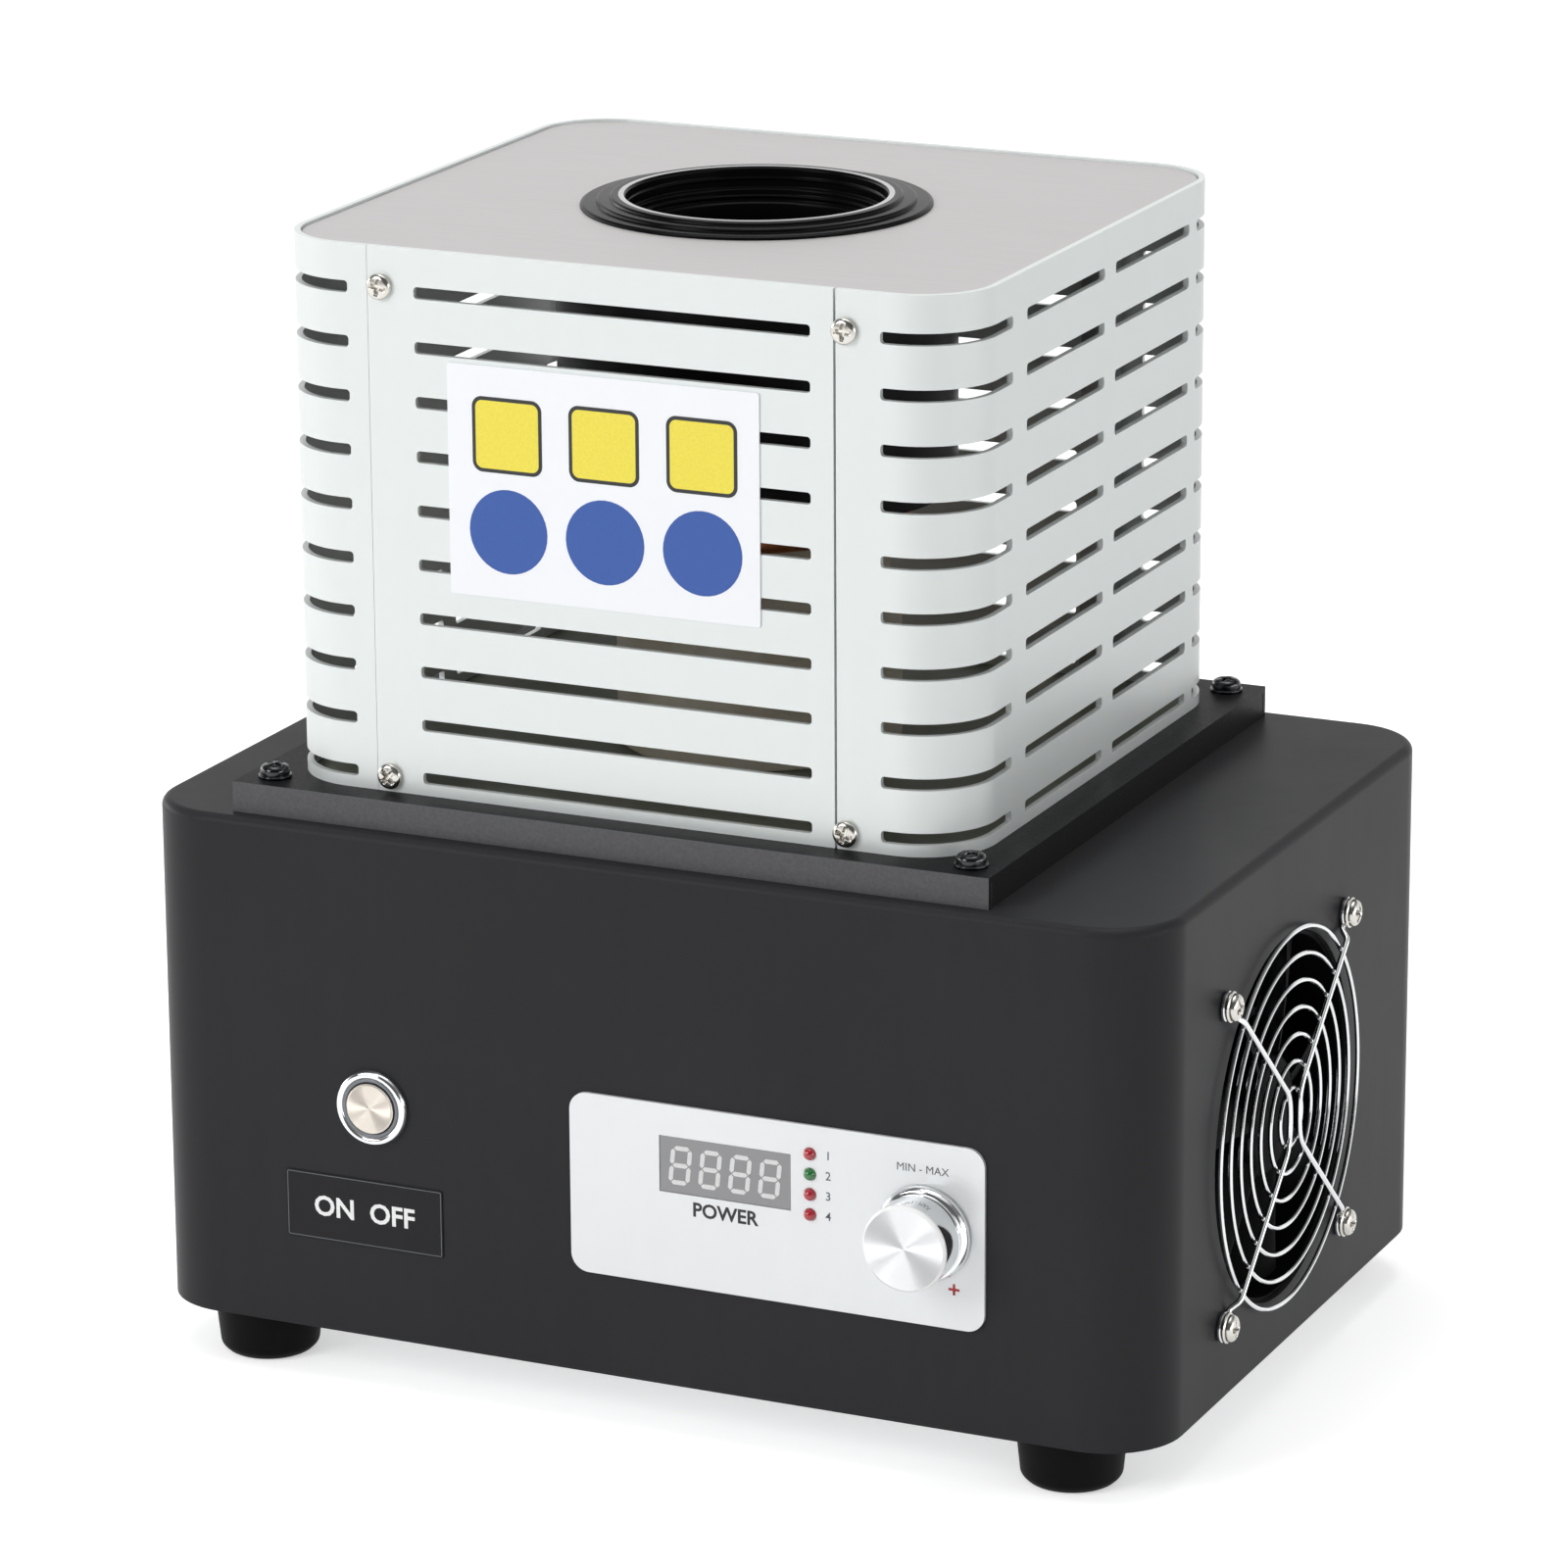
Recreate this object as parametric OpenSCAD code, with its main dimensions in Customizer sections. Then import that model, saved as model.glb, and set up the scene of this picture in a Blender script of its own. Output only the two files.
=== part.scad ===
// Bench-top electric furnace for melting gold: a black cabinet with the power supply and its cooling,
// and on top of it a slotted cage round the coil and the crucible.
// X runs along the front, Y goes into the depth and Z up. The origin is on the bench, under the middle.

/* [Cabinet] */
// Width of the cabinet, left to right
cabinet_w = 350; // [330:1:420]
// Depth of the cabinet, front to back
cabinet_d = 246; // [240:1:300]
// Height of the cabinet without its feet
cabinet_h = 168; // [164:1:220]
// Radius of the cabinet's upright corners
cabinet_r = 25; // [12:1:34]
// Radius of the edge round the cabinet's top
cabinet_edge_r = 3; // [2:0.5:5]
// Sheet thickness of the cabinet
sheet = 1.5; // [1:0.1:1.8]
// Thickness of the bottom plate
bottom_t = 2; // [1.5:0.1:3]

/* [Feet] */
// Height of a rubber foot
foot_h = 17; // [8:0.5:30]
// Diameter of a foot where it meets the cabinet
foot_d = 35; // [24:0.5:36]
// Diameter of a foot at the bench
foot_tip_d = 32; // [20:0.5:34]
// Distance of a foot's centre from the cabinet's side
foot_inset_x = 34; // [30:1:60]
// Distance of a foot's centre from the cabinet's front or back
foot_inset_y = 19; // [18:1:40]

/* [Tray] */
// Width of the mounting tray
tray_w = 260; // [256:1:280]
// Depth of the mounting tray
tray_d = 234; // [232:1:240]
// Height of the mounting tray
tray_h = 10; // [6:0.5:20]
// Sheet thickness of the tray
tray_sheet = 2; // [1:0.1:2.5]
// Place of the tray and the cage along the cabinet, from its middle
stack_x = -12; // [-20:1:20]
// Distance of a tray screw from the tray's edges
tray_screw_inset = 10; // [8:0.5:12]

/* [Cage] */
// Width of the cage
cage_w = 236; // [230:1:246]
// Depth of the cage
cage_d = 214; // [206:1:224]
// Height of the cage
cage_h = 175; // [174:1:220]
// Radius of the cage's upright corners
cage_r = 24; // [14:1:26]
// Sheet thickness of the cage
cage_sheet = 2; // [1:0.1:2.5]
// Thickness of the top plate
plate_t = 2; // [1.5:0.1:3]
// Depth of the top plate below the rim of the cage
plate_drop = 0.8; // [0.2:0.1:2]
// Gap between the top plate and the cage's wall
plate_gap = 0.5; // [0.2:0.1:1]
// Left edge of the front panel, from the middle of the cage
panel_left = -83; // [-86:0.5:-81]
// Right edge of the front panel, from the middle of the cage
panel_right = 74.6; // [72:0.1:75.2]
// Width of the open seam at the front panel's right edge
seam = 0.8; // [0.3:0.1:1.0]
// Width of the tight joint at the front panel's left edge
hairline = 0.15; // [0.05:0.05:0.4]

/* [Cage slots] */
// Number of rows of slots
slot_rows = 10; // [6:1:10]
// Height of a slot
slot_h = 3.8; // [2:0.1:6]
// Distance from one row of slots to the next
slot_pitch = 17.3; // [12:0.1:17.8]
// Height of the lowest row above the foot of the cage
slot_first = 5.6; // [5:0.1:8]
// Radius in the corners of a slot
slot_r = 1.2; // [0.5:0.1:1.8]
// Length of the slots in the front and the back
long_slot = 134; // [100:1:138]
// Length of each of the two slots side by side in the cage's sides
side_slot = 62.5; // [40:0.5:64]
// Wall between the two side slots
side_web = 9; // [5:0.5:20]
// Shift of the side slots towards the back
side_shift = 7; // [-8:0.5:8]
// Reach of a corner slot along the front or the back
reach_front = 28; // [26.5:0.5:32]
// Reach of a front corner slot along the side
reach_side = 36; // [28:0.5:37]
// Reach of a back corner slot along the side
reach_back = 26.5; // [26.5:0.5:27]

/* [Collar] */
// Outer diameter of the collar's flange
collar_d = 112; // [106:1:126]
// Diameter of the collar's second step
collar_step_d = 101.5; // [98:0.5:104]
// Diameter of the collar's third step
collar_rim_d = 93; // [90:0.5:96]
// Diameter of the opening
opening_d = 83; // [80:0.5:86]
// Height of each step of the collar
collar_rise = 1.2; // [0.8:0.1:2]
// Depth of the collar's sleeve below the top plate
collar_sleeve = 12; // [6:0.5:14]

/* [Furnace head] */
// Outer diameter of the black barrel round the coil
barrel_d = 128; // [126:1:140]
// Wall of the barrel
barrel_wall = 3; // [2:0.5:4]
// Length of the barrel below the top plate
barrel_l = 88; // [60:1:110]
// Middle radius of the coil's turns
coil_r = 47; // [46.5:0.5:48]
// Outer diameter of the coil's copper tube
coil_tube_d = 8; // [6:0.5:8]
// Number of turns
coil_turns = 7; // [4:1:7]
// Gap between the coil and the collar's sleeve
coil_clear = 7.5; // [4:0.5:10]
// Outer diameter of the refractory tube
tube_d = 84; // [82:0.5:85]
// Wall of the refractory tube
tube_wall = 4; // [3:0.5:4.5]
// Height of the base brick
brick_h = 50; // [44:1:56]
// Diameter of the base brick
brick_d = 92; // [88:1:93]
// Height of the seat that the crucible stands on
seat_h = 12; // [8:1:16]

/* [Crucible] */
// Diameter of the crucible at its rim
crucible_d = 72; // [60:1:73]
// Diameter of the crucible at its foot
crucible_foot_d = 64; // [50:1:68]
// Height of the crucible
crucible_h = 92; // [60:1:96]
// Wall of the crucible
crucible_wall = 8; // [5:0.5:10]

/* [Control panel] */
// Width of the faceplate
face_w = 141; // [136:1:150]
// Height of the faceplate
face_h = 59.5; // [56:0.5:66]
// Thickness of the faceplate
face_t = 1.2; // [0.6:0.1:2]
// Radius of the faceplate's corners
face_r = 6; // [2:0.5:10]
// Middle of the faceplate, from the middle of the cabinet
face_x = 49.5; // [46:0.5:55]
// Middle of the faceplate, above the foot of the cabinet
face_z = 63.8; // [50:0.1:90]
// Width of the display window
display_w = 45; // [40:0.5:48]
// Height of the display window
display_h = 18.5; // [14:0.5:22]
// Diameter of an indicator lamp
lamp_d = 4; // [3:0.1:5]
// Distance from one lamp to the next
lamp_pitch = 6.6; // [6:0.1:8]
// Diameter of the knob's face
knob_d = 28; // [22:0.5:29]
// Diameter of the knob's skirt
knob_skirt_d = 31; // [29:0.5:34]
// How far the knob's face stands in front of the cabinet
knob_proud = 18; // [14:0.5:24]

/* [Push button] */
// Diameter of the button's bezel
bezel_d = 25; // [24.5:0.5:30]
// Diameter of the button's threaded barrel
button_barrel_d = 22; // [20:0.5:23]
// Diameter of the button's cap
cap_d = 16.7; // [14:0.1:17]
// Travel of the button
button_travel = 2.5; // [1:0.1:3]
// Distance of the button from the cabinet's left side
button_in = 84; // [65:1:95]
// Height of the button above the foot of the cabinet
button_z = 78; // [74:1:120]
// Width of the small plate under the button
sign_w = 56; // [40:1:70]
// Height of the small plate under the button
sign_h = 22.5; // [15:0.5:24]

/* [Fans] */
// Size of a fan's square frame
fan_size = 120; // [120:1:124]
// Distance between a fan's screws
fan_pitch = 105; // [104:0.5:106]
// Thickness of a fan
fan_t = 25; // [20:1:28]
// Diameter of a fan's bore
fan_bore = 116; // [112:0.5:117]
// Diameter of the hole in the cabinet's side
fan_hole = 119; // [110:1:119]
// Place of the fans in the depth, from the middle of the cabinet
fan_y = -13; // [-30:1:20]
// Height of the fans' middle above the foot of the cabinet
fan_z = 77; // [74:1:100]
// Diameter of the guards' ring wire
ring_wire = 1.5; // [1.2:0.1:2.4]
// Diameter of the guards' spoke wire
spoke_wire = 1.9; // [1.6:0.1:2.8]
// Distance from one guard ring to the next
ring_pitch = 8.6; // [7:0.1:8.8]
// Number of guard rings
ring_count = 7; // [5:1:7]
// Distance of the guards' rings from the cabinet
guard_gap = 2.4; // [1.4:0.1:6]

/* [Rear] */
// Width of the rear panel
rear_w = 236; // [230:1:260]
// Height of the rear panel
rear_h = 124; // [120:1:130]
// Diameter of the filler cap
filler_cap_d = 40; // [36:1:46]
// How far the filler cap stands behind the cabinet
filler_proud = 18; // [17:0.5:24]

/* [Hidden] */
$fn = 48;

// Small clearances and overlaps
fit = 0.2;
run = 0.05;
bite = 0.01;
through = 1;

// Levels
cab_z = foot_h;
cab_top = cab_z + cabinet_h;
floor_z = cab_z + bottom_t;
cage_z = cab_top + tray_h;
cage_top = cage_z + cage_h;
plate_top = cage_top - plate_drop;
plate_under = plate_top - plate_t;
front_y = -cabinet_d / 2;
back_y = cabinet_d / 2;
wall_in_y = front_y + sheet;

// Screws of the cage: nickel pan heads in square posts
cage_screw_x = 78.5;
cage_screw_low = 5.2;
cage_screw_drop = 12.6;
cage_screw_r = 2;
cage_screw_head_r = 4.1;
post = 10;
tab_w = 11;
tray_tab_h = 12;
plate_tab_h = 20;
tab_out = cage_d / 2 - cage_sheet - plate_gap;

// Tray screws
tray_screw_r = 2.5;
tray_screw_head_r = 4.6;
tray_washer_r = 5.4;
tray_washer_t = 1;
fold_gap = 0.6;

// Case screws under the bottom plate and round the rear panel
case_screw_r = 1.5;
case_head_r = 3;
weld_block = 10;
block_x = 115;
block_y = 85;
rear_z = 82;
rear_t = 1.5;
rear_lap = 9;
rear_screw_inset = 5;

// Furnace head
sleeve_r = collar_rim_d / 2 + 1;
barrel_bore_r = sleeve_r + fit;
brick_top = cage_z + brick_h;
seat_top = brick_top + seat_h;
tube_top = plate_under - collar_sleeve - 1.2;
tube_in_r = tube_d / 2 - tube_wall;
seat_play = 0.3;
coil_z = brick_top + 20;
coil_steps = 24;
coil_sides = 6;
tail_angle = 17;
tail_r = coil_r + coil_tube_d + 1;
tail_x = tail_r * sin(tail_angle);
tail_y = tail_r * cos(tail_angle);
bush_r = 7;
terminal_w = 14;
terminal_h = 18;
terminal_top = cab_top - 14;

// Control panel
face_mid_z = cab_z + face_z;
face_front = front_y - face_t;
display_x = face_x - 17;
display_z = face_mid_z + 10.2;
lamp_x = face_x + 12;
lamp_z = face_mid_z + 20.5;
knob_x = face_x + 50.7;
knob_z = face_mid_z + 0.5;
board_gap = 12;
board_t = 1.6;
board_w = 88;
board_h = 48;
board_x = display_x + 3;
board_front = wall_in_y + board_gap;
pot_r = 8;
pot_l = 9;
pot_bush_r = 3.5;
pot_bush_l = 4.5;
shaft_r = 3;
nut_t = 2.2;
nut_r = 5.6;
knob_gap = 0.8;
knob_recess_r = 8;
knob_front = front_y - knob_proud;

// Push button
button_y = front_y;
button_x = -cabinet_w / 2 + button_in;
button_zc = cab_z + button_z;
bezel_t = 2.6;
bezel_in_r = cap_d / 2 + 1.5;
light_in_r = cap_d / 2 + 0.35;
button_barrel_l = 20;
button_nut_t = 4;
cap_front = 3;
cap_t = 4;
stem_r = 2;
sign_t = 0.5;
sign_drop = 36.2;
sign_shift = 3.8;

// Fans
fan_screw_r = 2.2;
fan_hub_r = 20;
fan_blades = 7;
blade_t = 1.8;
blade_pitch = 38;
blade_chord = 26;
rotor_r = fan_bore / 2 - 1.5;
rotor_h = 18;
fan_shaft_r = 1.5;
ring_first = 9.4;
loop_r = 4;
loop_in = 3.4;
fan_head_r = 5;
fan_head_h = 3.6;

// Rear panel
inlet_x = 70;
inlet_z = 52;
inlet_w = 27;
inlet_h = 20;
inlet_deep = 15;
mains_x = 70;
mains_z = 96;
mains_w = 22;
mains_h = 28;
rocker_w = 17.4;
rocker_h = 22;
rocker_tilt = 10;
filler_x = -72;
filler_z = 114;
filler_r = 14;
filler_bore_r = 11;
neck_rim = 4;
neck_flange = 2.5;
neck_mouth = 9;

// Cooling
tank_w = 70;
tank_d = 68;
tank_h = 130;
tank_wall = 3;
tank_gap = 4;
tank_y = back_y - sheet - tank_gap - tank_d;
radiator_t = 27;
radiator_d = 122;
radiator_h = 132;
radiator_x = -cabinet_w / 2 + sheet + fan_t + 2;
pump_x = -74;
pump_y = -22;
pump_r = 19;
pump_l = 44;
pipe_r = 5;

// Electronics
sink_gap = 4;
sink_w = 40;
sink_base = 8;
sink_d = 112;
sink_h = 128;
sink_x = cabinet_w / 2 - sheet - fan_t - sink_gap - sink_w;
module_t = 14;
inverter_t = 2;
inverter_x = sink_x - module_t - inverter_t;
transformer_x = 20;
transformer_y = 20;
core_w = 66;
core_d = 28;
core_h = 60;
core_leg = 14;
window_w = 16;
window_h = 38;
winding_t = 11;
inverter_d = 124;
inverter_h = 122;
inverter_lift = 8;
can_w = 26;
can_d = 24;
can_h = 42;
can_pitch = 30;
can_lift = 66;
can_shift = 1;
module_d = 48;
module_h = 92;
module_gap = 6;
module_lift = 22;

// Rounded rectangle with true arcs, centred
module rounded_rect(w, d, r) {
    square([w - 2 * r, d], center = true);
    square([w, d - 2 * r], center = true);
    for (x = [-1, 1], y = [-1, 1])
        translate([x * (w / 2 - r), y * (d / 2 - r)])
            circle(r);
}

// Flat plate with round corners, standing on z = 0
module plate(w, d, h, r) {
    linear_extrude(h)
        rounded_rect(w, d, r);
}

// Box on z = 0, centred in X and Y
module slab(w, d, h) {
    translate([-w / 2, -d / 2, 0])
        cube([w, d, h]);
}

// Quarter of a disc
module quarter(r) {
    intersection() {
        circle(r);
        square(r);
    }
}

// Block with round upright corners and a rounded edge round its top, standing on z = 0
module soft_block(w, d, h, r, e) {
    plate(w, d, h - e, r);
    translate([0, 0, h - e]) {
        plate(w - 2 * e, d - 2 * e, e, r - e);
        for (side = [[0, w, d], [90, d, w], [180, w, d], [270, d, w]])
            rotate(side[0])
                translate([side[1] / 2 - e, side[2] / 2 - r, 0])
                    rotate([90, 0, 0])
                        linear_extrude(side[2] - 2 * r)
                            quarter(e);
        for (q = [0:3])
            translate([[1, -1, -1, 1][q] * (w / 2 - r), [1, 1, -1, -1][q] * (d / 2 - r), 0])
                rotate(90 * q)
                    rotate_extrude(angle = 90)
                        translate([r - e, 0])
                            quarter(e);
    }
}

// Ring round Z, standing on z = 0
module ring(outer_r, inner_r, h) {
    rotate_extrude()
        translate([inner_r, 0])
            square([outer_r - inner_r, h]);
}

// Screw along Z: its head stands on z = 0 and its shank goes down
module screw(shank_r, shank_l, head_r, head_h) {
    cross_w = head_r * 0.26;
    cross_l = head_r * 1.15;
    difference() {
        rotate_extrude()
            polygon([
                [0, -shank_l], [shank_r, -shank_l], [shank_r, 0], [head_r, 0],
                [head_r, head_h * 0.55], [head_r * 0.72, head_h * 0.92], [0, head_h]
            ]);
        translate([0, 0, head_h * 0.5]) {
            slab(cross_l, cross_w, head_h);
            slab(cross_w, cross_l, head_h);
        }
    }
}

// Straight wire from one point to another
module wire(from, to, r) {
    v = to - from;
    l = norm(v);
    translate(from)
        rotate([0, acos(v[2] / l), atan2(v[1], v[0])])
            cylinder(r = r, h = l, $fn = 24);
}

// Curve through hand-chosen points, each stretch cut in n steps
function through_points(p, n) = [
    for (i = [0:len(p) - 2])
        let (a = p[max(i - 1, 0)], b = p[i], c = p[i + 1], d = p[min(i + 2, len(p) - 1)])
            for (k = [0:n - 1])
                let (t = k / n)
                    0.5 * (2 * b + (c - a) * t + (2 * a - 5 * b + 4 * c - d) * t * t
                           + (3 * b - a - 3 * c + d) * t * t * t),
    p[len(p) - 1]
];

function unit(v) = v / norm(v);
function tangent(p, i) = unit(p[min(i + 1, len(p) - 1)] - p[max(i - 1, 0)]);
function square_to(v, t) = unit(v - (v * t) * t);

// Normals along a path, each turned as little as possible from the one before
function normals(p, first) = [
    for (i = 0, n = square_to(first, tangent(p, 0)); i < len(p);
         i = i + 1, n = i < len(p) ? square_to(n, tangent(p, i)) : n)
        n
];

// Tube along a path
module tube_along(p, r, sides, first) {
    n = normals(p, first);
    last = len(p) - 1;
    points = [
        for (i = [0:last])
            let (t = tangent(p, i), b = cross(t, n[i]))
                for (k = [0:sides - 1])
                    p[i] + r * (cos(360 * k / sides) * n[i] + sin(360 * k / sides) * b)
    ];
    walls = [
        for (i = [0:last - 1], k = [0:sides - 1])
            let (k2 = (k + 1) % sides)
                each [
                    [i * sides + k, i * sides + k2, (i + 1) * sides + k2],
                    [i * sides + k, (i + 1) * sides + k2, (i + 1) * sides + k]
                ]
    ];
    caps = [
        [for (k = [sides - 1:-1:0]) k],
        [for (k = [0:sides - 1]) last * sides + k]
    ];
    polyhedron(points, [for (f = concat(walls, caps)) [for (j = [len(f) - 1:-1:0]) f[j]]]);
}

// Places of the feet, tray screws and posts
module at_feet() {
    for (x = [-1, 1], y = [-1, 1])
        translate([x * (cabinet_w / 2 - foot_inset_x), y * (cabinet_d / 2 - foot_inset_y), 0])
            children();
}

module at_tray_screws() {
    for (x = [-1, 1], y = [-1, 1])
        translate([stack_x + x * (tray_w / 2 - tray_screw_inset), y * (tray_d / 2 - tray_screw_inset), 0])
            children();
}

module at_posts() {
    for (x = [-1, 1], side = [0, 180])
        translate([stack_x, 0, 0])
            rotate(side)
                translate([x * cage_screw_x, -tab_out, 0])
                    children();
}

// Places of the cage screws, with Z along the screw and out of the cage
module at_cage_screws() {
    for (z = [cage_z + cage_screw_low, cage_top - cage_screw_drop])
        at_posts()
            translate([0, tab_out - cage_d / 2, z])
                rotate([90, 0, 0])
                    children();
}

// Middle of a fan on the cabinet's outer face, with Z pointing out: side is 1 on the right, -1 on the left
module at_fan(side) {
    mirror([side < 0 ? 1 : 0, 0, 0])
        translate([cabinet_w / 2, fan_y, cab_z + fan_z])
            rotate([0, 90, 0])
                children();
}

module at_fan_screws() {
    for (x = [-1, 1], y = [-1, 1])
        translate([x * fan_pitch / 2, y * fan_pitch / 2, 0])
            children();
}

// Place on the cabinet's front, with Z pointing out of it and Y up
module on_front(x, z) {
    translate([x, front_y, z])
        rotate([90, 0, 0])
            children();
}

// Place on the rear panel's outer face, with Z pointing out of it and Y up
module on_back(x, z) {
    translate([x, back_y + rear_t, cab_z + z])
        rotate([90, 0, 180])
            children();
}

module at_coil_tails() {
    for (s = [-1, 1])
        translate([stack_x + s * tail_x, tail_y, 0])
            children();
}

// Places of the case screws: under the bottom plate, pointing down
module at_bottom_screws() {
    block_in = sheet + weld_block / 2;
    for (s = [-1, 1], t = [-1, 1]) {
        translate([s * block_x, t * (cabinet_d / 2 - block_in), 0])
            children();
        translate([s * (cabinet_w / 2 - block_in), t * block_y, 0])
            children();
    }
}

module at_rear_screws() {
    for (x = [-1, 0, 1], z = [-1, 1])
        on_back(x * (rear_w / 2 - rear_screw_inset), rear_z + z * (rear_h / 2 - rear_screw_inset))
            children();
}

module base_shell() {
    color("#38383a")
        difference() {
            union() {
                difference() {
                    translate([0, 0, cab_z])
                        soft_block(cabinet_w, cabinet_d, cabinet_h, cabinet_r, cabinet_edge_r);
                    translate([0, 0, cab_z - through])
                        soft_block(cabinet_w - 2 * sheet, cabinet_d - 2 * sheet, cabinet_h - sheet + through,
                                   cabinet_r - sheet, cabinet_edge_r - sheet);
                }
                at_bottom_screws()
                    translate([0, 0, floor_z])
                        slab(weld_block + bite, weld_block + bite, weld_block);
            }
            at_bottom_screws()
                translate([0, 0, cab_z])
                    cylinder(r = case_screw_r, h = bottom_t + weld_block + through);
            for (side = [-1, 1])
                at_fan(side)
                    translate([0, 0, -sheet - through]) {
                        cylinder(d = fan_hole, h = sheet + 2 * through);
                        at_fan_screws()
                            cylinder(r = fan_screw_r, h = sheet + 2 * through);
                    }
            on_front(display_x, display_z)
                translate([0, 0, -sheet - through])
                    slab(display_w, display_h, sheet + 2 * through);
            lamp_places()
                translate([0, 0, -sheet - through])
                    cylinder(d = lamp_d + fit, h = sheet + 2 * through);
            on_front(knob_x, knob_z)
                translate([0, 0, -sheet - through])
                    cylinder(r = pot_bush_r + run, h = sheet + 2 * through);
            on_front(button_x, button_zc)
                translate([0, 0, -sheet - through])
                    cylinder(d = button_barrel_d, h = sheet + 2 * through);
            translate([0, back_y - sheet / 2, cab_z + rear_z])
                cube([rear_w - 2 * rear_lap, sheet + 2 * through, rear_h - 2 * rear_lap], center = true);
            at_rear_screws()
                translate([0, 0, -rear_t - sheet - through])
                    cylinder(r = case_screw_r, h = sheet + 2 * through);
            translate([0, 0, cab_top - sheet - through]) {
                at_tray_screws()
                    cylinder(r = tray_screw_r, h = sheet + 2 * through);
                at_coil_tails()
                    cylinder(r = bush_r + run, h = sheet + 2 * through);
            }
        }
}

module bottom_plate() {
    vent_w = 60;
    vent_h = 4;
    vent_pitch = 11;
    vent_rows = 5;
    color("#8b8f92")
        difference() {
            translate([0, 0, cab_z])
                plate(cabinet_w - 2 * sheet - 2 * fit, cabinet_d - 2 * sheet - 2 * fit, bottom_t,
                      cabinet_r - sheet - fit);
            translate([0, 0, cab_z - through]) {
                at_feet()
                    cylinder(r = tray_screw_r, h = bottom_t + 2 * through);
                at_bottom_screws()
                    cylinder(r = case_screw_r, h = bottom_t + 2 * through);
                for (i = [0:vent_rows - 1])
                    translate([transformer_x + 20, -70 - vent_pitch * (vent_rows - 1) / 2 + vent_pitch * i + 20, 0])
                        plate(vent_w, vent_h, bottom_t + 2 * through, vent_h / 2 - bite);
            }
        }
}

module rubber_feet() {
    edge = 3;
    pocket_r = 7;
    color("#17181a")
        at_feet()
            difference() {
                rotate_extrude()
                    polygon([
                        [0, 0], [foot_tip_d / 2 - edge, 0], [foot_tip_d / 2 - edge * 0.3, edge * 0.3],
                        [foot_tip_d / 2, edge], [foot_d / 2, foot_h], [0, foot_h]
                    ]);
                translate([0, 0, -through])
                    cylinder(r = pocket_r, h = foot_h * 0.55 + through);
                cylinder(r = tray_screw_r, h = foot_h + through);
            }
}

module foot_screws() {
    head_h = 3;
    color("#9fa2a5")
        at_feet()
            translate([0, 0, foot_h * 0.55])
                rotate([180, 0, 0])
                    screw(tray_screw_r, foot_h * 0.45 + bottom_t + 2, tray_screw_head_r, head_h);
}

module case_screws() {
    head_h = 1.9;
    color("#1d1e20") {
        at_bottom_screws()
            translate([0, 0, cab_z])
                rotate([180, 0, 0])
                    screw(case_screw_r, bottom_t + weld_block - 2, case_head_r, head_h);
        at_rear_screws()
            screw(case_screw_r, rear_t + sheet + 3, case_head_r, head_h);
    }
}

module rear_panel() {
    vent_w = 64;
    vent_h = 4;
    vent_rows = 8;
    vent_pitch = 10;
    color("#2f3032")
        difference() {
            on_back(0, rear_z)
                translate([0, 0, -rear_t])
                    plate(rear_w, rear_h, rear_t, rear_lap / 2);
            at_rear_screws()
                translate([0, 0, -rear_t - through])
                    cylinder(r = case_screw_r, h = rear_t + 2 * through);
            on_back(inlet_x, inlet_z)
                translate([0, 0, -rear_t - through])
                    slab(inlet_w + 4, inlet_h + 4, rear_t + 2 * through);
            on_back(mains_x, mains_z)
                translate([0, 0, -rear_t - through])
                    slab(mains_w, mains_h, rear_t + 2 * through);
            on_back(filler_x, filler_z)
                translate([0, 0, -rear_t - through])
                    cylinder(r = filler_r + fit, h = rear_t + 2 * through);
            for (i = [0:vent_rows - 1])
                on_back(0, rear_z + vent_pitch * (i - (vent_rows - 1) / 2))
                    translate([0, 0, -rear_t - through])
                        plate(vent_w, vent_h, rear_t + 2 * through, vent_h / 2 - bite);
        }
}

module power_inlet() {
    flange = 3;
    wall = 2;
    pin = [2, 7, 12];
    color("#1a1b1d")
        on_back(inlet_x, inlet_z)
            difference() {
                union() {
                    plate(inlet_w + 16, inlet_h + 10, flange, 4);
                    translate([0, 0, -inlet_deep - wall])
                        slab(inlet_w + 2 * wall, inlet_h + 2 * wall, inlet_deep + wall + bite);
                }
                translate([0, 0, flange - inlet_deep])
                    slab(inlet_w, inlet_h, inlet_deep + through);
            }
    color("#c9b26a")
        on_back(inlet_x, inlet_z)
            for (p = [[-8, 2.4], [8, 2.4], [0, -3.4]])
                translate([p[0], p[1], flange - inlet_deep])
                    slab(pin[0], pin[1], pin[2]);
}

module mains_switch_frame() {
    flange = 2;
    body_l = 20;
    wall = (mains_w - rocker_w) / 2 - fit;
    color("#1a1b1d")
        on_back(mains_x, mains_z)
            difference() {
                union() {
                    plate(mains_w + 6, mains_h + 6, flange, 2);
                    translate([0, 0, -body_l])
                        slab(mains_w, mains_h, body_l + bite);
                }
                translate([0, 0, -body_l + 8])
                    slab(mains_w - 2 * wall, mains_h - 2 * wall, body_l);
                rotate([0, 90, 0])
                    cylinder(r = stem_r + run, h = mains_w - 0.8, center = true);
            }
}

module mains_rocker() {
    reach = rocker_h / 2;
    color("#b3221c")
        on_back(mains_x, mains_z)
            rotate([rocker_tilt, 0, 0]) {
                rotate([0, 90, 0])
                    cylinder(r = stem_r, h = mains_w - 1.2, center = true);
                rotate([90, 0, 90])
                    translate([0, 0, -rocker_w / 2])
                        linear_extrude(rocker_w)
                            polygon([
                                [-reach, 0], [-reach, 5.4], [0, 2.6], [reach, 5.4], [reach, 0],
                                [reach * 0.55, -4], [-reach * 0.55, -4]
                            ]);
            }
}

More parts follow.
